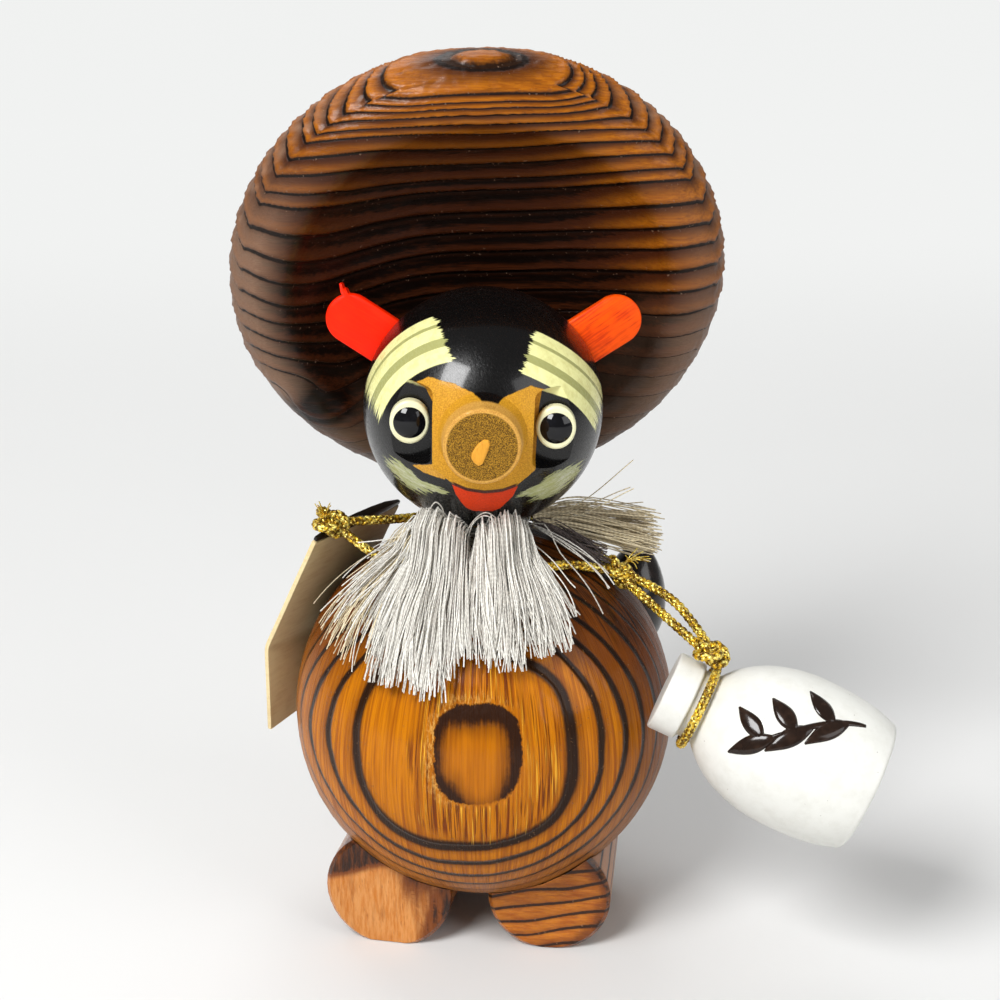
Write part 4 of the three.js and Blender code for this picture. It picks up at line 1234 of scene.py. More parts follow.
@dataclass
class DishHat:
    """The hat: a turned dish with a thick round lip, deeply scorched and brushed."""

    place: Place
    outer: float = 47.5
    lip: float = 8.0
    hollow_depth: float = 9.8
    hollow_rise: float = 4.6
    dome: float = 12.5
    lift: float = 15.4
    seat: float = 0.6
    nod: float = math.radians(18.8)
    swing: float = math.radians(3.7)
    clear: float = 0.3
    relief: float = 0.42
    segments: int = 480
    lines: tuple[float, ...] = (
        *(-46, -42.8, -39.6, -36.4, -32.6, -29, -25, -21.2, -17.4, -13.4, -9, -4.4, 0.1, 4.7),
        *(8.9, 13.7, 19.2, 21.9, 25.9, 30.1, 34.7, 37.7, 39.9, 41.3, 42.4, 43.6, 46.6),
    )

    def frame(self) -> Matrix:
        """The hat's frame: +Z out of the hollow, +Y up the hat."""
        level = math.cos(self.nod)
        axis = Vector((math.sin(self.swing) * level, -math.cos(self.swing) * level, -math.sin(self.nod)))
        up = (UP - axis * axis.z).normalized()
        edge = self.outer - self.lip - self.lip * 0.8
        floor = self.lip - self.hollow_depth + self.hollow_rise * (self.lift / edge) ** 2
        centre = self.place.head - axis * (floor + self.place.head_radius - self.seat) + up * self.lift
        rows = Matrix((up.cross(axis), up, axis)).transposed().to_4x4()
        return Matrix.Translation(centre * MM) @ rows

    def profile(self) -> Outline:
        """The turned outline, from the back's middle round the lip to the hollow's middle."""
        middle, bottom = self.outer - self.lip, self.lip - self.hollow_depth
        lip = arc((middle, 0), self.lip, -75, 128, 84)
        turn = lip[0][0] + (lip[0][1] + self.dome) * math.tan(math.radians(-75))
        back = [(0.0, -self.dome)] + quadratic((0, -self.dome), (turn, -self.dome), lip[0], 42)
        hollow = quadratic(lip[-1], ((middle - self.lip * 0.8) * 0.62, bottom), (0, bottom), 76)
        return back + lip[1:] + hollow

    def layers(self, s: Points, t: Points, n: Points) -> Points:
        """How deep each point lies in the layers, which run level from rim to rim and turn up over the lip.

        Args:
            s: places across the hat.
            t: places up the hat.
            n: places out of the hollow.

        Returns:
            Depths on the scale of the lines.
        """
        crest, level = self.outer - 2.0, (0.78, -0.626)
        line = [p for p in self.profile() if p[1] > self.lip - self.hollow_depth - 0.01][::-1]
        line = [p for p in line if p[0] <= crest]
        ups = np.array([(-r, h) for r, h in line[::-1]] + line)
        heights, sums = ups @ np.array(level), 0.99 * ups[:, 0] + 0.15 * ups[:, 1]
        far = np.maximum(np.hypot(s, t), 1e-6)
        middle, last = self.outer - self.lip, math.radians(120)
        first = math.asin((crest - middle) / self.lip)
        ring_r, ring_n = middle + self.lip * math.sin(last), self.lip * math.cos(last)
        behind = n < ring_n
        outside = (far > crest) | behind
        rise = t / far
        edge_t = np.where(outside, rise * crest, t)
        edge_n = np.where(outside, self.lip * math.cos(first), n)
        inner = np.interp(edge_t * level[0] + edge_n * level[1], heights, sums)
        plain = 0.99 * t + 0.15 * n
        run = self.lip * (np.where(behind, last, np.clip(np.arctan2(far - middle, n), first, last)) - first)
        tilt = np.degrees(np.arccos(np.clip(rise, -1, 1)))
        soft = 0.6 + 2.6 * ramp(tilt, 52, 26)
        turned = inner - 0.34 * (np.hypot(run, soft) - soft)
        near = np.clip(far / ring_r, 0, 1)
        lifted = plain + (turned - 0.99 * rise * ring_r - 0.15 * ring_n) * ease(near)
        turned = np.where(behind, lifted, turned)
        share = ease(ramp(tilt, 14, 34))
        depth = np.where(outside, plain + (turned - plain) * share, inner)
        droop = ramp(np.minimum(far, crest), 36, 45) ** 2 * share * np.where(behind, near * near, 1)
        fall = ramp(t, 45, 5)
        sag = (3.0 + 6.0 * fall) * hump(s + 37, 18) * (fall > 0) + 3.0 * fall * hump(s - 42, 18)
        return depth - 2.2 * droop + sag

    def build(self) -> Object:
        """Makes the dish with its relief, hollowed for the head."""
        frame = self.frame()
        points, faces = revolve(self.profile(), self.segments, frame)
        made = to_object("dish_hat", points, faces)
        turned = np.array(frame)
        local = (points - turned[:3, 3]) @ turned[:3, :3] * PER_METRE
        s, t, n = local.T
        waver = 0.6 * clouds(points, 0.035, 11.0) + 0.14 * clouds(points, 0.14, 5.0)
        whorl = hump(np.hypot(s + 33, (t + 26) * 1.2), 6)
        depth = self.layers(s, t, n) + waver * (0.3 + 0.7 * ramp(t, 44, 30))
        depth = depth + 5.0 * whorl - 0.3 * ease(ramp(s, -24, -38)) * np.clip(-2 - t, 0, 16)
        count = ring_count(depth, self.lines)
        far = np.hypot(s, t)
        # The lower parts beside the head get fewer lines and more darkness: partly char, partly painted shade
        # under the head.
        low_right, low_left = ramp(t, 3, -11) * ramp(s, 8, 22), ramp(t, -15, -23) * ramp(s, -6, -18)
        quiet = np.maximum(low_right, low_left) * ramp(n, -6, -2)
        ridge = terrace(-count) * (1 - 0.7 * quiet)
        push = self.relief * ridge + 0.05 * clouds(points, 0.5, 2.2)
        push = push + ramp(far, 42.5, 45.5) * (0.18 * clouds(points, 0.9, 9.1) + 0.2 * ridge) - 0.22
        moved = points + normals_of(made) * push[:, None] * MM
        centre = np.array(self.place.head) * MM
        from_head = moved - centre
        away = np.linalg.norm(from_head, axis=1)
        least = (self.place.head_radius + self.clear) * MM
        inside = away < least
        moved[inside] = centre + from_head[inside] / away[inside][:, None] * least
        set_points(made, moved)
        # Darker in the hollow round the head: partly char, partly painted shade of the hollow and the head
        # above it.
        hollow_char_and_shade = np.exp(-((np.hypot(s * 0.72 + 2, (t + 12) * 0.85) / 30) ** 4))
        char_and_shade = 0.71 + 0.26 * hollow_char_and_shade - 0.7 * ramp(t, 14, 42) ** 2.2
        char_and_shade = char_and_shade - ramp(s, 18, 34) * np.clip((t + 40) / 60, 0, 0.42)
        char_and_shade = char_and_shade - 0.2 * ramp(np.abs(s + 4), 14, 28) * ramp(t, 4, 18)
        # Painted sheen: a greyish haze on the lip where it rounds away, the reflection of the bright
        # surroundings.
        pale = ramp(far, 37, 43) * (0.3 + 0.4 * ramp(s, -18, -36)) * ramp(t, 30, 10)
        pale = pale * np.clip((t + 38) / 16, 0.1, 1)
        torn = ramp(far, 46, 47) * ramp(t, -24, -12) * ramp(t, 42, 36)
        torn = torn * np.clip(0.5 + 0.8 * clouds(points, 0.5, 4.0), 0, 1)
        # Painted sheen near the rim of the lower parts.
        lower_rim_sheen = 0.34 * quiet * ramp(far, 28, 42)
        keep(
            made,
            rings=-count,
            scorch=np.clip(char_and_shade + 0.42 * quiet + 0.9 * whorl, 0, 1),
            bold=-0.86 * np.clip(quiet + 0.5 * whorl, 0, 1),
            bloom=np.clip(np.maximum(pale, 0.85 * torn) + lower_rim_sheen - whorl, 0, 1),
        )
        return made

    def dress(self) -> None:
        """Builds the hat and gives it its wood."""
        # The last colour is the painted sheen.
        tints = (tint(148, 80, 10), tint(178, 104, 16), tint(14, 6, 3), tint(60, 27, 10), tint(148, 116, 94))
        looks = {"line": 0.11, "roughness": 0.34, "coat": 0.2, "grain": (0.1, 2.4, 2.4)}
        wood = RingedCedar("hat_cedar", *tints, terrace_shade=0.9, char_and_shade=0.8, **looks)
        settle(self.build(), wood.make(), Body.FIGURE, Slot.SCORCHED, "hat")


@dataclass
class Head:
    """The head ball and its snout in one turning, with eye sockets, eyes, ears and the nib on the nose."""

    place: Place
    nose: float = 6.4
    chamfer: float = 0.7
    reach: float = 4.4
    flare: float = 5.2
    nose_lift: float = 0.9
    snout: float = 18.4
    socket_wide: float = 9.4
    socket_tall: float = 15.0
    socket_lift: float = 1.9
    socket_back: float = 15.4
    eye_wide: float = 7.3
    eye_tall: float = 8.3
    eye_thick: float = 2.0
    eye_aside: float = 0.5
    pupil: float = 5.9
    pupil_rise: float = 1.1
    gap: float = 0.3
    ear_wide: float = 9.6
    ear_thick: float = 2.0
    ear_reach: float = 11.9
    ear_root: float = 4.0
    ear_back: float = 2.0
    ear_turn: float = 8.0
    splinter: tuple[Pair, ...] = (
        *((3.6, 3.1), (4.3, 3.4), (5.3, 4.6), (5.0, 4.9), (4.3, 4.3), (3.7, 4.5), (3.0, 4.0)),
    )
    chip: tuple[Pair, ...] = (
        *((-0.9, -2.1), (0.0, -2.7), (0.7, -2.3), (1.1, -1.2), (1.6, 0.2), (1.9, 1.5)),
        *((1.6, 2.3), (0.8, 2.4), (-0.1, 1.7), (-0.8, 0.8), (-1.3, -0.2), (-1.4, -1.2)),
    )

    @property
    def ear_length(self) -> float:
        """An ear's length from its root to the middle of its round end."""
        return self.ear_reach + self.ear_root - self.ear_wide / 2

    @property
    def face(self) -> Matrix:
        """The face's frame, rolled with the head."""
        return at(self.place.head) @ Matrix.Rotation(self.place.face_roll, 4, "Y")

    def solid(self) -> Object:
        """The ball with its snout joined on and its sockets cut."""
        radius = self.place.head_radius
        profile = arc((0, 0), radius, -90, 90, 80)
        profile[0], profile[-1] = (0, -radius), (0, radius)
        ball = to_object("face_ball", *revolve(profile, 160, self.face))
        tip, low = radius + self.reach, radius * 0.3
        wide, full = self.nose + self.flare, self.nose + self.chamfer
        line = [(0, low), (wide, low), (wide, radius * 0.72)]
        line += quadratic((wide, radius * 0.72), (full, radius * 0.9), (full, tip - self.chamfer), 16)
        line += quadratic((full, tip - self.chamfer), (full, tip), (self.nose, tip), 5)
        line += [(self.nose * 0.66, tip), (self.nose * 0.33, tip), (0, tip)]
        raised = self.face @ Matrix.Translation((0, 0, self.nose_lift * MM))
        snout = to_object("snout", *revolve(line, 96, raised @ FORWARD))
        cutters = [(self.socket(side), "DIFFERENCE") for side in (-1, 1)]
        for tool, operation in [(snout, "UNION"), *cutters]:
            modifier = ball.modifiers.new("turn", "BOOLEAN")
            modifier.operation, modifier.object, modifier.solver = operation, tool, "EXACT"
            with bpy.context.temp_override(object=ball, active_object=ball):
                bpy.ops.object.modifier_apply(modifier=modifier.name)
            bpy.data.objects.remove(tool)
        sharpen(ball, 28)
        return ball

    def socket(self, side: int) -> Object:
        """The cutter of one eye socket: straight beside the snout, round on the outer side."""
        inner, outer, half = self.snout / 2, self.snout / 2 + self.socket_wide, self.socket_tall / 2
        middle, lift = inner + self.socket_wide * 0.42, self.socket_lift
        line = [(inner, lift - half * 0.78)]
        line += quadratic(line[-1], (inner, lift - half), (middle, lift - half), 8)
        line += quadratic(line[-1], (outer, lift - half * 0.9), (outer, lift), 14)
        line += quadratic(line[-1], (outer, lift + half * 0.9), (middle, lift + half), 14)
        line += quadratic(line[-1], (inner, lift + half), (inner, lift + half * 0.78), 8)
        deep, front = -self.socket_back, -(self.place.head_radius + self.reach + 4)
        local = np.array([(side * x, y, z) for y in (deep, front) for x, z in line])
        cutter = to_object("socket_cutter", transform(local, self.face), stacked(len(line), 2))
        face_out(cutter)
        return cutter

    def eyes(self) -> None:
        """A cream disc with a rounded rim, and a black dome on it, in each socket."""
        cream = Paint("eye_cream", tint(238, 236, 196), tint(222, 214, 160), roughness=0.3, coat=0.3)
        bead = Gloss("pupil_bead", tint(10, 10, 13))
        for name, side in (("left", -1), ("right", 1)):
            across = side * (self.snout / 2 + self.eye_aside + self.eye_wide / 2)
            seat = Vector((across, -self.socket_back - self.gap, self.socket_lift))
            base = self.face @ at(seat) @ FORWARD
            r, h, edge = self.eye_wide / 2, self.eye_thick, 0.55
            line = [(0, 0), (r, 0)] + arc((r - edge, h - edge), edge, 0, 90, 6) + [(r * 0.5, h), (0, h)]
            stretch = Matrix.Diagonal((1, self.eye_tall / self.eye_wide, 1, 1))
            disc = to_object(f"eye_disc_{name}", *revolve(line, 64, base @ stretch))
            sharpen(disc, 50)
            settle(disc, cream.make(), Body.FIGURE, Slot.CREAM, f"eye_{name}")
            r, rise = self.pupil / 2, self.pupil_rise
            top = Matrix.Translation((0, 0, (h + self.gap * 0.1) * MM))
            curve = (r * r + rise * rise) / (2 * rise)
            heights = np.linspace(0.05, rise, 12)[:-1]
            round_up = [(math.sqrt(max(curve**2 - (z + curve - rise) ** 2, 0)), z) for z in heights]
            line = [(0, 0), (r, 0), *round_up, (0, rise)]
            dome = to_object(f"pupil_dome_{name}", *revolve(line, 64, base @ top))
            settle(dome, bead.make(), Body.FIGURE, Slot.PUPIL, f"pupil_{name}")

    def ear_outline(self, torn: bool) -> Outline:
        """An ear's flat outline, from its root to its round end.

        Args:
            torn: whether the end keeps a torn splinter.

        Returns:
            The outline's points.
        """
        half, length = self.ear_wide / 2, self.ear_length
        line = [(0.0, -half), (length * 0.5, -half)]
        line += arc((length, 0), half, -90, 90, 28) + [(length * 0.5, half), (0.0, half)]
        if not torn:
            return line
        line = [p for p in line if not (p[0] > length + 2.6 and p[1] > 2.6)]
        spot = max(i for i, p in enumerate(line) if p[0] > length and p[1] < 2.7) + 1
        return line[:spot] + [(length + x, y) for x, y in self.splinter] + line[spot:]

    def ears(self) -> None:
        """Flat slabs with round ends; the left one keeps a torn splinter at its tip."""
        shift = at(Vector((0, self.ear_back, 0)))
        edge = 0.35
        layers = ((edge, -1.0), (edge * 0.3, -0.85), (0, -0.55), (0, 0.55), (edge * 0.3, 0.85), (edge, 1.0))
        for name, side, rise, colours in (
            ("left", -1, 29.5, (tint(252, 34, 0), tint(240, 44, 0))),
            ("right", 1, 33.5, (tint(250, 84, 2), tint(196, 40, 4))),
        ):
            line = self.ear_outline(side < 0)
            tilt = Matrix.Rotation(math.radians(-rise), 4, "Y")
            yaw = Matrix.Rotation(math.radians(self.ear_turn * side), 4, "Z")
            mirror = Matrix.Rotation(math.pi if side < 0 else 0.0, 4, "Z")
            frame = self.face @ shift @ mirror @ tilt @ yaw @ FORWARD
            start = self.place.head_radius - self.ear_root
            rows = []
            for inset, height in layers:
                for x, y in line:
                    out = Vector((x - self.ear_length * 0.6, y)).normalized() * inset
                    rows.append((start + x - out.x, y - out.y, height * self.ear_thick / 2))
            faces = stacked(len(line), len(layers))
            slab = to_object(f"ear_slab_{name}", transform(np.array(rows), frame), faces)
            sharpen(slab, 40)
            looks = {"roughness": 0.45, "drag": (0.12, 1.0, 3.0), "share": 0.8, "depth": 0.08, "gloss": 0.15}
            lean = (0, math.radians(rise * side), 0)
            paint = Paint(f"ear_vermilion_{name}", *colours, turn=lean, **looks)
            settle(slab, paint.make(), Body.FIGURE, Slot.VERMILION, f"ear_{name}")

    def nib(self) -> None:
        """The torn chip of wood that parting off left in the middle of the nose."""
        front = -(self.place.head_radius + self.reach)
        layers = ((1.0, 0.02), (0.93, -0.28), (0.7, -0.42))
        rows = []
        for grow, out in layers:
            rows += [(x * grow - 0.5, front + out, self.nose_lift + z * grow - 0.9) for x, z in self.chip]
        faces = stacked(len(self.chip), len(layers))
        chip = to_object("nose_nib", transform(np.array(rows), self.face), faces, False)
        tints = (tint(226, 160, 52), tint(196, 122, 30))
        paint = Paint("nib_wood", *tints, roughness=0.6, drag=(1.5, 0.4, 0.4), share=0.8, depth=0.1)
        settle(chip, paint.make(), Body.FIGURE, Slot.CEDAR)

    def dress(self) -> None:
        """Builds every piece of the head."""
        radius = self.place.head_radius
        shape = (radius, radius + self.reach, self.nose_lift, self.nose)
        paint = FacePaint(self.place.head * MM, self.place.face_roll, *shape)
        settle(self.solid(), paint.make(), Body.FIGURE, Slot.LACQUER, "head")
        self.eyes()
        self.ears()
        self.nib()


@dataclass(frozen=True)
class Foot:
    """One dowel foot: where it lies, in millimetres and degrees, how its wood is burnt, and its painted shade
    and sheen.
    """

    name: str
    across: float
    front: float
    turn: float
    radius: float
    grain: Pair
    step: float
    line: float
    tints: tuple[Colour, Colour]
    side_scorch: float
    side_bloom: float
    face_scorch: float
    rim_scorch: float
    top_scorch_and_shade: float
    fibre: Triple
    height: float = 11.2

    def burnt(self, points: Points, local: Points) -> dict[str, Points]:
        """The ring count, char with painted shade, and painted sheen of the foot's wood.

        Args:
            points: the mesh's points in metres.
            local: the same points in millimetres from the body's axis.

        Returns:
            The numbers of each point, by name.
        """
        turn = math.radians(self.turn)
        x, y = local[:, 0] - self.across, local[:, 1] - self.front
        side, deep = x * math.cos(turn) + y * math.sin(turn), y * math.cos(turn) - x * math.sin(turn)
        high = local[:, 2] - self.height
        cloud = clouds(points, 0.12, self.turn)
        along = np.clip((deep - 0.4) / 1.6, 0, 1)
        across = np.array([side, high]).T @ np.array(self.grain)
        rim = np.clip((np.hypot(side, high) / self.radius - 0.72) / 0.24, 0, 1)
        rim = rim * ramp(side - 0.4 * high, -4, 3)
        face = self.face_scorch * ramp(side + 0.35 * high, 1, 6) + self.rim_scorch * rim
        streaks = np.clip(0.6 + 1.2 * clouds(points * [1, 0.3, 0.2], 0.7, 3.0), 0, 1)
        burnt = (self.side_scorch * along + (1 - along) * face) * (0.45 + 0.55 * streaks)
        # The top edge is darker: partly burnt, partly painted shade under the belly.
        top = np.clip((high - 0.43 * side + 1.2 * cloud - 6.0) / 1.8, 0, 1)
        burnt = burnt + self.top_scorch_and_shade * (1 - along) * top
        return {
            "rings": (across + 0.7 * cloud) / self.step + RING_BASE + 0.4,
            "scorch": np.clip(burnt + 0.1 * cloud, 0, 1),
            # Painted sheen on the dowel's sides, the reflection of the bright surroundings at grazing angles.
            "bloom": self.side_bloom * along,
        }


PALE_FOOT = (tint(230, 160, 90), tint(208, 126, 48))
WARM_FOOT = (tint(204, 122, 34), tint(172, 88, 20))


@dataclass
class Stand:
    """The dowel feet and the tail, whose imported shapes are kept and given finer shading."""

    place: Place
    feet: tuple[Foot, ...] = (
        Foot(
            name="left",
            across=-19,
            front=-17.5,
            turn=-11.5,
            radius=12.6,
            grain=(0.9, 0.42),
            step=60.0,
            line=0.01,
            tints=PALE_FOOT,
            side_scorch=0.85,
            side_bloom=0.0,
            face_scorch=0.95,
            rim_scorch=0.2,
            top_scorch_and_shade=0.95,
            fibre=(1.5, 1.5, 0.22),
        ),
        Foot(
            name="right",
            across=12.8,
            front=-19.7,
            turn=-6.3,
            radius=12.1,
            grain=(-0.2, 0.98),
            step=3.1,
            line=0.12,
            tints=WARM_FOOT,
            side_scorch=0.1,
            side_bloom=0.9,
            face_scorch=0.15,
            rim_scorch=1.0,
            top_scorch_and_shade=0.5,
            fibre=(0.2, 1.5, 1.5),
        ),
    )

    def copy(self, node: str, name: str, degrees: float) -> Object:
        """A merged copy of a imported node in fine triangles, shaded smooth with crisp edges."""
        made = packed_copy(node, name)
        with edited(made) as mesh:
            bmesh.ops.remove_doubles(mesh, verts=mesh.verts, dist=1e-6)
            for limit in (0.012, 0.006, 0.003, 0.0015, 0.0015):
                long = [edge for edge in mesh.edges if edge.calc_length() > limit]
                bmesh.ops.subdivide_edges(mesh, edges=long, cuts=1)
                bmesh.ops.triangulate(mesh, faces=mesh.faces)
        sharpen(made, degrees)
        return made

    def dress(self) -> None:
        """Dresses both feet and the tail."""
        # Line, shade and painted-sheen colours.
        shades = (tint(40, 22, 13), tint(120, 62, 20), tint(184, 132, 92))
        for foot in self.feet:
            made = self.copy(f"foot_{foot.name}", f"foot_dowel_{foot.name}", 35)
            points = points_of(made)
            keep(made, **foot.burnt(points, points * PER_METRE - np.array(self.place.axis)))
            looks = {"line": foot.line, "roughness": 0.28, "coat": 0.5, "grain": foot.fibre}
            wood = RingedCedar(f"foot_cedar_{foot.name}", *foot.tints, *shades, **looks)
            settle(made, wood.make(), Body.FIGURE, Slot.CEDAR, f"foot_{foot.name}")
        tail = self.copy("tail", "tail_egg", 35)
        tints = (tint(22, 17, 15), tint(48, 32, 25))
        looks = {"roughness": 0.22, "coat": 0.4, "drag": (1.5, 1.5, 0.3), "share": 0.7, "depth": 0.06}
        paint = Paint("tail_lacquer", *tints, **looks)
        settle(tail, paint.make(), Body.FIGURE, Slot.LACQUER, "tail")


@dataclass(frozen=True)
class Lock:
    """How a lock of thread hangs: in degrees from the front, right positive, and from the vertical."""

    count: int
    root: Pair
    tip: Pair
    reach: Pair
    depth: float
    clumps: int = 24
    loose: float = 2.4
    lift: float = 0.3
    puff: float = 4.5
    gather: float = 1.0
    strand: float = 0.05


DOMED = {"depth": 3.6, "gather": 0.6, "strand": 0.026}


@dataclass
class Beard:
    """The thread beard: two hanging locks, the collar that binds them and cut ends over the shoulders."""

    place: Place
    thread: float = 0.128
    clear: float = 40.1
    start: float = 15.5
    seed: int = 20
    locks: tuple[tuple[Lock, ...], ...] = (
        (
            Lock(400, (-52, -4), (-40, -7), (53, 62.5), clumps=14, loose=1.6, lift=0.4, puff=9.5, **DOMED),
            Lock(56, (-56, -34), (-70, -34), (36, 54), depth=2.8, clumps=20, loose=5.0, lift=1.8, puff=6.0),
        ),
        (
            Lock(350, (-17, 44), (-5, 32), (46, 54), clumps=13, loose=1.7, lift=0.4, puff=8.0, **DOMED),
            Lock(6, (30, 60), (38, 62), (36, 48), depth=2.0, clumps=6, loose=4.0, lift=2.0),
        ),
        (Lock(84, (-72, -44), (-66, -36), (43, 57), depth=1.3, clumps=14, loose=4.2, lift=1.2),),
    )

    def lines(self, chance: random.Random, lock: Lock) -> list[Points]:
        """Lines of one lock of thread, drawn together in clumps, over the body's front.

        Args:
            chance: the source of variation.
            lock: how the lock hangs.

        Returns:
            The lines' points in metres.
        """
        made = []
        shares = np.linspace(0, 1, lock.clumps)
        clumps = [(u + chance.gauss(0, 0.02), chance.gauss(0, 2.8), chance.random()) for u in shares]
        body, head = self.place.body, self.place.head
        (root_from, root_to), (tip_from, tip_to), (short, long) = lock.root, lock.tip, lock.reach
        for _ in range(lock.count):
            share, cut, high = chance.choice(clumps)
            u = min(max(share + chance.gauss(0, lock.strand), -0.03), 1.03)
            layer = clamp(0.5 * high + 0.5 * chance.random() + chance.gauss(0, 0.1))
            middle = math.sin(math.pi * clamp(u)) ** 0.6
            end = short + (long - short) * middle + cut - 5 * chance.random() ** 3 * (1 + 2 * (1 - layer))
            spread = 0.5 + lock.gather * (clamp(u + chance.gauss(0, 0.15)) - 0.5)
            root = root_from + (root_to - root_from) * spread
            stray = 3.5 if chance.random() < 0.07 else 1.0
            tip = tip_from + (tip_to - tip_from) * u + chance.gauss(0, lock.loose * stray)
            wave, phase, lift = chance.gauss(0, 2.1), chance.uniform(0, 6.3), abs(chance.gauss(0, lock.lift))
            line = []
            for t in np.linspace(0, 1, 14):
                polar = math.radians(self.start + (end - self.start) * t)
                swell = lock.depth * (0.25 + 0.75 * layer) * math.sin(math.pi * (0.3 + 0.66 * t))
                swell += lock.puff * (0.3 + 0.7 * layer) * middle * math.exp(-(((t - 0.16) / 0.15) ** 2))
                sway = 0.25 * wave * math.sin(4 * t + phase) * t * layer
                radial = max(self.clear + max(swell, 0) + lift * t * t + sway, self.clear)
                azimuth = math.radians(root + (tip - root) * t**0.55 + wave * math.sin(4.2 * t + phase) * t)
                flat = radial * math.sin(polar)
                spot = Vector((flat * math.sin(azimuth), -flat * math.cos(azimuth), radial * math.cos(polar)))
                chin = body + spot - head
                line.append(head + chin * max(1.0, (self.place.head_radius + 0.6) / chin.length))
            made.append(np.array([tuple(p) for p in line]) * MM)
        return made

    def tuft(
        self, chance: random.Random, count: int, path: Sequence[Vector], spread: Pair, stray: float
    ) -> list[Points]:
        """Lines of a tuft that fans out along a path."""
        made = []
        base = [Vector(p) for p in through(path, 5)]
        for _ in range(count):
            angle, share = chance.uniform(0, TURN), math.sqrt(chance.random())
            length, bend = chance.uniform(0.82, 1.02), chance.gauss(0, 0.9)
            drift = Vector((chance.gauss(0, stray * 0.3), chance.gauss(0, stray), chance.gauss(0, stray)))
            line = []
            for i, p in enumerate(base):
                t = i / (len(base) - 1)
                wide = (0.4 + 0.6 * t) * share
                high = math.sin(angle) * spread[1] * wide + bend * math.sin(math.pi * t)
                offset = Vector((0, math.cos(angle) * spread[0] * wide, high))
                line.append(tuple(base[0] + (p - base[0]) * length + offset + drift * t * t))
            made.append(np.array(line) * MM)
        return made

    def arches(self) -> list[Points]:
        """The small loops of thread under the chin."""
        made = []
        for arch in (
            ((-3.4, -15.5, 41.2), (0.6, -19.4, 47.8), (4.8, -15.6, 41.2)),
            ((-2.8, -15.2, 41.4), (0.4, -18.8, 47.0), (3.8, -15.4, 41.4)),
            ((-9.8, -15.5, 44.0), (-8.6, -18.2, 49.4), (-7.2, -15.6, 44.4)),
        ):
            a, b, c = (Vector(p) for p in arch)
            rise, fall = (a + b) / 2 + Vector((-0.5, 0, 0.7)), (b + c) / 2 + Vector((0.5, 0, 0.7))
            made.append(through([self.place.body + p for p in (a, rise, b, fall, c)], 5) * MM)
        return made

    def collar(self, chance: random.Random) -> list[Points]:
        """The binding's turns of thread between the head and the body."""
        place, made = self.place, []
        angles = np.linspace(0, TURN, 40)
        for _ in range(34):
            r, high = chance.uniform(4.7, 9.0), chance.random()
            low = place.body.z + math.sqrt((place.body_radius + 0.5) ** 2 - r * r)
            top = place.head.z - math.sqrt((place.head_radius + 0.5) ** 2 - r * r)
            z = low + 0.2 + (top - low - 0.4) * high
            ring = [(place.axis.x + r * math.cos(a), place.axis.y + r * math.sin(a), z) for a in angles]
            made.append(np.array(ring) * MM)
        return made

    def dress(self) -> None:
        """Grows every bundle of thread."""
        chance = random.Random(self.seed)
        tree = thread_tree()
        white = Thread("white_thread", tint(252, 250, 242), tint(172, 166, 156)).make()
        taupe = Thread("taupe_thread", tint(252, 238, 202), tint(164, 146, 114)).make()
        left, right, down = (sum((self.lines(chance, lock) for lock in locks), []) for locks in self.locks)
        place = self.place
        neck = place.head.z - place.head_radius - place.neck_gap / 2
        root = Vector((place.axis.x + 9.6, place.axis.y + 1.2, neck + 0.6))

        def fan(*steps: Triple) -> list[Vector]:
            """A tuft's path: its root and then the points at the given steps from it."""
            return [root, *(root + Vector(step) for step in steps)]

        out = self.tuft(chance, 190, fan((9, 2.2, -1.4), (25.0, 5.2, -5.6)), (3.0, 4.6), 1.2)
        out += self.tuft(chance, 3, fan((9, -2, 3), (19, -5, 11.5)), (3.0, 2.0), 3.0)
        # Dark copies of the taupe thread beneath the right tuft: painted shade under it.
        shaded_taupe = Thread("painted_shade_thread", tint(112, 96, 90), tint(46, 38, 38)).make()
        below = fan((6, -1.0, -3.6), (15, -1.5, -8.8))
        under = self.tuft(random.Random(self.seed + 1), 80, below, (3.4, 1.8), 1.0)
        for name, strands, material, slot, size, *nodes in (
            ("beard_threads_left", left, white, Slot.WHITE_THREAD, 1.0, "beard_left"),
            ("beard_threads_right", right + self.arches(), white, Slot.WHITE_THREAD, 1.0, "beard_right"),
            ("collar_threads", self.collar(chance), white, Slot.WHITE_THREAD, 1.0, "thread_collar"),
            ("tuft_threads_right", out, taupe, Slot.TAUPE_THREAD, 0.9, "tuft_right"),
            ("tuft_threads_left", down, taupe, Slot.TAUPE_THREAD, 0.75, "tuft_left"),
            ("tuft_threads_under", under, shaded_taupe, Slot.TAUPE_THREAD, 0.9),
        ):
            values = {"Radius": self.thread * size * MM, "Seed": self.seed, "Material": material}
            settle(grown(lines_object(name, strands), tree, values), None, Body.FIGURE, slot, *nodes)


FLASK_WAY = (0.9, -0.2, -0.385)


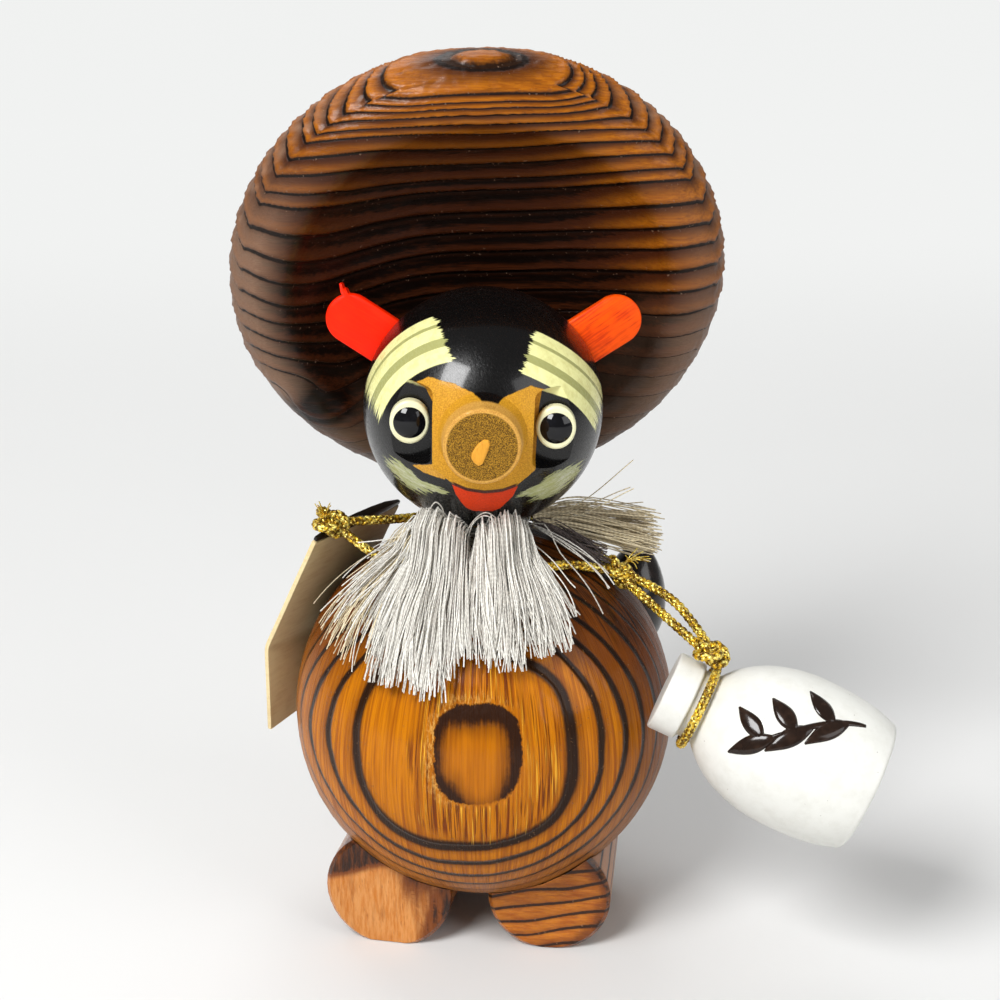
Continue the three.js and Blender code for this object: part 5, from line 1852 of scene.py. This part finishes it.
@dataclass
class GoldCord:
    """The braided cord: two runs round the neck, three knots, the sling's two runs and the flask's loop."""

    place: Place
    diameter: float = 1.8
    pitch: float = 6.0
    step: float = 0.28
    knot_radius: float = 2.05
    loop_radius: float = 7.9
    seed: int = 7

    def knot_line(self, node: str, square: Vector) -> Points:
        """The line of an overhand knot at a packed knot's middle, square to a direction, in metres."""
        centre = middle_of(node) * MM
        turn = UP.rotation_difference(square).to_matrix()
        line = []
        for u in np.linspace(0, 2 * TURN, 160, endpoint=False):
            flat = self.knot_radius * (2 + math.cos(1.5 * u)) * 0.5
            high = self.knot_radius * math.sin(1.5 * u) * 0.5
            line.append(tuple(centre + turn @ Vector((flat * math.cos(u), flat * math.sin(u), high)) * MM))
        return np.array(line)

    def braid(self, name: str, line: Points, body: Body, node: str, closed: bool = False) -> None:
        """Plaits the cord along a line and lets it stand for a node."""
        length = float(np.linalg.norm(np.diff(line, axis=0), axis=1).sum())
        turns = max(round(length / (self.pitch * MM)), 1)
        pitch = length / turns if closed else self.pitch * MM
        values = {"Diameter": self.diameter * MM, "Pitch": pitch, "Step": self.step * MM}
        made = grown(lines_object(name, [line], closed), self.tree, {**values, "Material": self.gold})
        settle(made, None, body, Slot.GOLD, node)

    def fray(self, name: str, start: Vector, way: Vector, count: int, length: float, spread: float) -> None:
        """The unravelled end of a cord: fine gold fibres that fan out."""
        chance = random.Random(self.seed + count)
        lines = []
        for _ in range(count):
            aim = way.normalized() + Vector([chance.gauss(0, spread) for _ in "xyz"])
            bend = Vector([chance.gauss(0, 0.3) for _ in "xyz"]) - UP * 0.2
            reach = length * chance.uniform(0.6, 1.0)
            line = [tuple(start + aim * reach * t + bend * reach * t * t) for t in np.linspace(0, 1, 7)]
            lines.append(np.array(line) * MM)
        values = {"Radius": 0.11 * MM, "Seed": self.seed, "Material": self.gold}
        settle(grown(lines_object(name, lines), self.threads, values), None, Body.FIGURE, Slot.GOLD)

    def dress(self) -> None:
        """Plaits every run, knot and frayed end."""
        self.tree, self.threads, self.gold = braid_tree(), thread_tree(), GoldBraid().make()
        above = self.diameter / 2 + 0.35
        over = self.place.on_body
        shoulder, ledger, flask = (middle_of(f"{name}_knot") for name in ("shoulder", "ledger", "flask"))
        for name, ways in (
            ("neck_cord_front", ((31, -158, 1), (26, -125, 0), (24, -90, 0), (26, -55, 0), (30, -28, 0))),
            ("neck_cord_back", ((23, 170, 3.2), (21, 130, 0.6), (21, 90, 0), (23, 55, 0), (30, 24, 0))),
        ):
            run = [over(polar, azimuth, above + more) for polar, azimuth, more in ways]
            self.braid(f"braid_{name}", through([ledger, *run, shoulder], 10) * MM, Body.FIGURE, name)
        lean, way = math.radians(27.7), math.radians(144.4)
        down = Vector((-math.sin(lean) * -math.cos(way), math.sin(lean) * math.sin(way), -math.cos(lean)))
        axis = Vector(FLASK_WAY).normalized()
        high = (UP - axis * axis.z).normalized()
        for node, square, body in (
            ("shoulder_knot", heading(42, -6), Body.FIGURE),
            ("ledger_knot", -down, Body.FIGURE),
            ("flask_knot", high, Body.SLING),
        ):
            self.braid(f"braid_{node}", self.knot_line(node, square), body, node, True)
        aside = (flask - shoulder).cross(UP).normalized()
        out = heading(90, -32)
        for node, bow, apart in (("sling_upper", 1.9, 1.3), ("sling_lower", 0.5, -1.3)):
            a, b = shoulder - aside * apart * 0.6, flask - aside * apart * 0.6
            middle = (a + b) / 2 + out * bow * 0.5 + UP * bow - aside * apart * 0.5
            self.braid(f"braid_{node}", through([a, middle, b], 16) * MM, Body.SLING, node)
        centre = middle_of("flask_loop") * MM
        one = axis.orthogonal().normalized()
        two = axis.cross(one)
        angles = np.linspace(0, TURN, 96, endpoint=False)
        ring = [(one * math.cos(a) + two * math.sin(a)) * self.loop_radius * MM for a in angles]
        loop = np.array([tuple(centre + spot) for spot in ring])
        self.braid("braid_flask_loop", loop, Body.SLING, "flask_loop", True)
        for name, start, shift, aim, count, length, spread in (
            ("fray_shoulder", shoulder, (1.1, 1.0, 1.5), (0.82, 0.5, 0.55), 16, 5.0, 0.13),
            ("fray_ledger", ledger, (-0.5, -0.5, 0.8), (-0.3, -0.4, 0.85), 18, 4.0, 0.2),
        ):
            self.fray(name, start + Vector(shift), Vector(aim), count, length, spread)


@dataclass
class Flask:
    """The white flask: turned, painted, with a plain sprig brushed on it."""

    place: Place
    length: float = 42.0
    mouth: float = 7.7
    lip: float = 5.4
    neck: float = 6.7
    groove: float = 3.0
    widest: float = 14.8
    base: float = 13.0
    edge: float = 1.2
    direction: Triple = FLASK_WAY
    columns: int = 7
    turn_radius: float = 13.0
    past_lip: int = 13

    def frame(self) -> Matrix:
        """The flask's frame: +Z from mouth to base, the mouth's middle at the origin."""
        axis = Vector(self.direction).normalized()
        way = heading(72, -32)
        along = way.dot(axis)
        across = math.sqrt(1 - along**2)
        rim = self.mouth - self.edge / 3
        far = across * rim + math.sqrt((self.place.body_radius + 0.3) ** 2 - (along * rim) ** 2)
        centre = self.place.body + way * far
        return Matrix.Translation(centre * MM) @ UP.rotation_difference(axis).to_matrix().to_4x4()

    def outline(self) -> Outline:
        """The turned outline, from the mouth's middle to the base's."""
        start, end = self.lip, self.lip + self.groove
        run = (self.length - end) * 0.57
        line = [(0, 0.0), (self.mouth * 0.5, 0.0), (self.mouth - 0.5, 0.0)]
        line += arc((self.mouth - 0.5, 0.5), 0.5, -90, 0, 5)[1:]
        line += arc((self.mouth - 0.5, start - 0.5), 0.5, 0, 90, 5)
        line += [(self.neck + 0.2, start), (self.neck, start + 0.3), (self.neck, end)]
        base, last = self.base - self.edge, self.length
        line += quadratic(line[-1], (self.widest, end + run * 0.34), (self.widest, end + run), 30)
        line += quadratic(line[-1], (self.widest, last - self.edge * 5), (self.base, last - self.edge), 18)
        line += quadratic(line[-1], (self.base - self.edge * 0.2, last), (base, last), 6)
        return line + [(self.base * 0.5, self.length), (0, self.length)]

    def radius(self, along: float) -> float:
        """The flask's radius at a distance from the mouth, from the outline's points past the lip."""
        line = self.outline()[self.past_lip :]
        return float(np.interp(along, [z for _, z in line], [r for r, _ in line]))

    def sprig(self, frame: Matrix) -> None:
        """A plain sprig in thick glossy paint on the side that faces the viewer: a stem and its leaves."""
        ink = Gloss("mark_paint", tint(34, 22, 15), 0.16).make()
        front = Vector(frame.inverted().to_3x3() @ Vector((0.1, -0.8, 0.6)))
        facing = math.atan2(front.y, front.x)
        strokes = [((35.5, -0.5), (28, -0.3), (17.5, 0.42), 0.55, 0.3)]
        leaves = ((32.5, -0.40), (30.0, -0.30), (26.6, -0.10), (24.2, 0.02), (21.0, 0.2), (19.4, 0.3))
        for number, (z, turn) in enumerate(leaves):
            side = -1 if number % 2 else 1
            bend = ((z, turn), (z - 3.2, turn + side * 0.16 + 0.04), (z - 6.2, turn + side * 0.42 + 0.1))
            strokes.append((*bend, 1.65, 1.0))
        for number, (a, b, c, wide, belly) in enumerate(strokes):
            stroke = self.stroke(f"mark_stroke_{number}", frame, facing, np.array((a, b, c)), wide, belly)
            settle(stroke, ink, Body.FLASK, Slot.BLACK_EDGE)

    def stroke(
        self, name: str, frame: Matrix, facing: float, bend: Points, wide: float, belly: float
    ) -> Object:
        """One raised stroke of paint on the flask.

        Args:
            name: the piece's name.
            frame: the flask's frame.
            facing: the angle that faces the viewer.
            bend: three rows of distance from the mouth and angle, the stroke's quadratic line.
            wide: half its greatest width in millimetres.
            belly: 1 for a leaf that is widest in the middle, less for an even line.

        Returns:
            The closed stroke.
        """
        rows, steps, count = [], 24, self.columns
        for t in np.linspace(0, 1, steps + 1):
            p = (1 - t) ** 2 * bend[0] + 2 * t * (1 - t) * bend[1] + t * t * bend[2]
            q = (2 * (1 - t) * (bend[1] - bend[0]) + 2 * t * (bend[2] - bend[1])) * [1, self.turn_radius]
            q = np.array([-q[1], q[0]]) / np.linalg.norm(q)
            half = wide * (math.sin(math.pi * (0.04 + 0.92 * t)) ** belly) * (1.15 - 0.3 * t)
            for u in np.arange(count) / 3 - 1:
                z = p[0] + q[0] * u * half
                r = self.radius(z) + 0.02 + 0.3 * math.sqrt(max(1 - u * u, 0)) * min(1, half)
                angle = facing + p[1] + q[1] * u * half / self.turn_radius
                rows.append((r * math.cos(angle), r * math.sin(angle), z))
        under = len(rows)
        rows += [(x * 0.985, y * 0.985, z) for x, y, z in rows]
        starts = [i * count + k for i in range(steps) for k in range(count - 1)]
        grid = [(i, i + 1, i + count + 1, i + count) for i in starts]
        last = steps * count
        rim = [*range(0, last + 1, count), *range(last + 1, last + count)]
        rim += [*range(last - 1, 0, -count), *range(count - 2, 0, -1)]
        faces = grid + [tuple(under + i for i in reversed(face)) for face in grid]
        faces += [(p, q, under + q, under + p) for p, q in zip(rim, rim[1:] + rim[:1])]
        made = to_object(name, transform(np.array(rows), frame), faces)
        face_out(made)
        return made

    def dress(self) -> None:
        """Builds the flask and its mark."""
        frame = self.frame()
        made = to_object("white_flask", *revolve(self.outline(), 128, frame))
        sharpen(made, 40)
        points = points_of(made)
        set_points(made, points + normals_of(made) * (0.06 * clouds(points, 0.25, 2.0))[:, None] * MM)
        looks = {"roughness": 0.4, "coat": 0.1, "drag": (0.4, 0.4, 0.4), "share": 0.5, "depth": 0.09}
        tints = (tint(232, 232, 226), tint(218, 217, 209))
        paint = Paint("flask_white", *tints, speck=tint(120, 104, 92), **looks)
        settle(made, paint.make(), Body.FLASK, Slot.WHITE_PAINT, "flask")
        self.sprig(frame)


@dataclass
class Ledger:
    """The thin tan sheet that leans on the back, with its black top edge."""

    def dress(self) -> None:
        """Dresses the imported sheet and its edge, with fine rounding."""
        looks = {"roughness": 0.55, "coat": 0.05, "drag": (0.2, 0.2, 1.4), "share": 0.6, "depth": 0.04}
        card = Paint("ledger_sheet", tint(232, 212, 164), tint(214, 188, 136), **looks)
        ink = Paint("ledger_black", tint(24, 20, 17), tint(44, 36, 30), roughness=0.35, coat=0.2)
        for node, name, paint, slot in (
            ("ledger", "ledger_leaf", card, Slot.SHEET),
            ("ledger_binding", "ledger_edge", ink, Slot.BLACK_EDGE),
        ):
            made = packed_copy(node, name)
            with edited(made) as mesh:
                bmesh.ops.remove_doubles(mesh, verts=mesh.verts, dist=1e-6)
                bmesh.ops.dissolve_limit(mesh, angle_limit=0.01, verts=mesh.verts, edges=mesh.edges)
                sharp = [e for e in mesh.edges if e.calc_face_angle(0) > math.radians(50)]
                bmesh.ops.bevel(mesh, geom=sharp, offset=0.25 * MM, segments=2, affect="EDGES", profile=0.6)
                bmesh.ops.triangulate(mesh, faces=mesh.faces)
            sharpen(made, 30)
            settle(made, paint.make(), Body.LEDGER, slot, node)


@dataclass
class Hidden:
    """The pegs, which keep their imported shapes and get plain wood."""

    def dress(self) -> None:
        """Gives each peg its wood."""
        tints = (tint(206, 172, 124), tint(184, 146, 98))
        wood = Paint("peg_wood", *tints, roughness=0.7, drag=(1.2, 1.2, 0.1), share=0.7).make()
        for name, node in FRAME["nodes"].items():
            if "peg" in name:
                node.data.materials.clear()
                node.data.materials.append(wood)


@dataclass
class Studio:
    """The pale sweep, the soft lights and the camera at the photograph's angle."""

    place: Place
    pitch: float = math.radians(70)
    lens: float = 75.6
    eye: Triple = (3.2, -380.8, 181.8)

    def sweep(self) -> None:
        """The seamless floor and backdrop."""
        bend = [(0.9 + 0.6 * math.sin(a), 0.6 - 0.6 * math.cos(a)) for a in np.linspace(0.1, math.pi / 2, 12)]
        line = [(-1.2, 0.0), (0.9, 0.0), *bend, (1.5, 2.2)]
        rows = [(x, y, z - 0.0002) for y, z in line for x in (-2.2, 2.2)]
        faces = [[2 * i, 2 * i + 1, 2 * i + 3, 2 * i + 2] for i in range(len(line) - 1)]
        sweep = to_object("paper_sweep", np.array(rows), faces)
        s = Surface("paper")
        soft = s.mottle(s.place(), 0.004, 2)
        side, back, _ = s.split(s.place())
        away = (side * side + back * back).math("SQRT").smooth(240.0, 700.0)
        near = back.smooth(60.0, 620.0).math("MAXIMUM", away)
        seen = s.node("ShaderNodeLightPath", output="Is Camera Ray") * near
        paper = s.mix(soft, tint(218, 218, 217), tint(223, 223, 222))
        dark = (0.0, 0.0, 0.0, 1.0)
        glow = {"emission_color": s.mix(seen, dark, tint(*WORLD_PALE)), "emission_strength": 1.0}
        finish = s.done(base_color=s.mix(seen, paper, dark), roughness=0.9, specular_ior_level=0.1, **glow)
        sweep.data.materials.append(finish)

    def lamp(self, name: str, spot: Triple, size: float, power: float) -> None:
        """An area light that faces the figure."""
        data = bpy.data.lights.new(name, "AREA")
        data.size, data.energy = size, power
        lamp = linked(name, data)
        lamp.location = spot
        aim = Vector((0, 0, 0.09)) - Vector(spot)
        lamp.rotation_euler = aim.to_track_quat("-Z", "Y").to_euler()

    def build(self) -> None:
        """Makes the sweep, the lights, the world and the camera."""
        self.sweep()
        for name, spot, size, power in (
            ("key", (-0.45, -0.6, 0.8), 0.4, 11.6),
            ("fill", (0.75, -0.55, 0.5), 0.6, 3.2),
            ("back", (-0.2, 0.6, 1.0), 0.7, 5.0),
        ):
            self.lamp(name, spot, size, power)
        world = bpy.data.worlds.new("studio")
        world.use_nodes = True
        tree, light = world.node_tree, world.node_tree.nodes["Background"]
        light.inputs[0].default_value, light.inputs[1].default_value = (0.95, 0.96, 0.97, 1), 0.24
        ray = add_node(tree, "ShaderNodeLightPath", {}, {}).outputs["Is Camera Ray"]
        pale = {"Color": tint(*WORLD_PALE), "Strength": 1.0}
        pale = add_node(tree, "ShaderNodeBackground", {}, pale).outputs[0]
        seen = add_node(tree, "ShaderNodeMixShader", {}, {0: ray, 1: light.outputs[0], 2: pale}).outputs[0]
        tree.links.new(seen, tree.nodes["World Output"].inputs[0])
        scene = bpy.context.scene
        scene.world = world
        scene.view_settings.view_transform = "Standard"
        data = bpy.data.cameras.new("camera")
        data.lens, data.sensor_width, data.clip_start = self.lens, 36, 0.01
        camera = linked("camera", data)
        camera.location = (self.place.body + Vector(self.eye)) * MM
        camera.rotation_euler = (self.pitch, 0, 0)
        scene.camera = camera


def main() -> None:
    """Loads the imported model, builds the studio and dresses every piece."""
    logging.basicConfig(level=logging.INFO, format="%(message)s")
    FRAME.update(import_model())
    place = Place()
    Studio(place).build()
    makers: Sequence[Callable[[], None]] = (
        GoldCord(place).dress,
        BellyBall(place).dress,
        DishHat(place).dress,
        Head(place).dress,
        Stand(place).dress,
        Beard(place).dress,
        Flask(place).dress,
        Ledger().dress,
        Hidden().dress,
    )
    for make in makers:
        make()


if __name__ == "__main__":
    main()
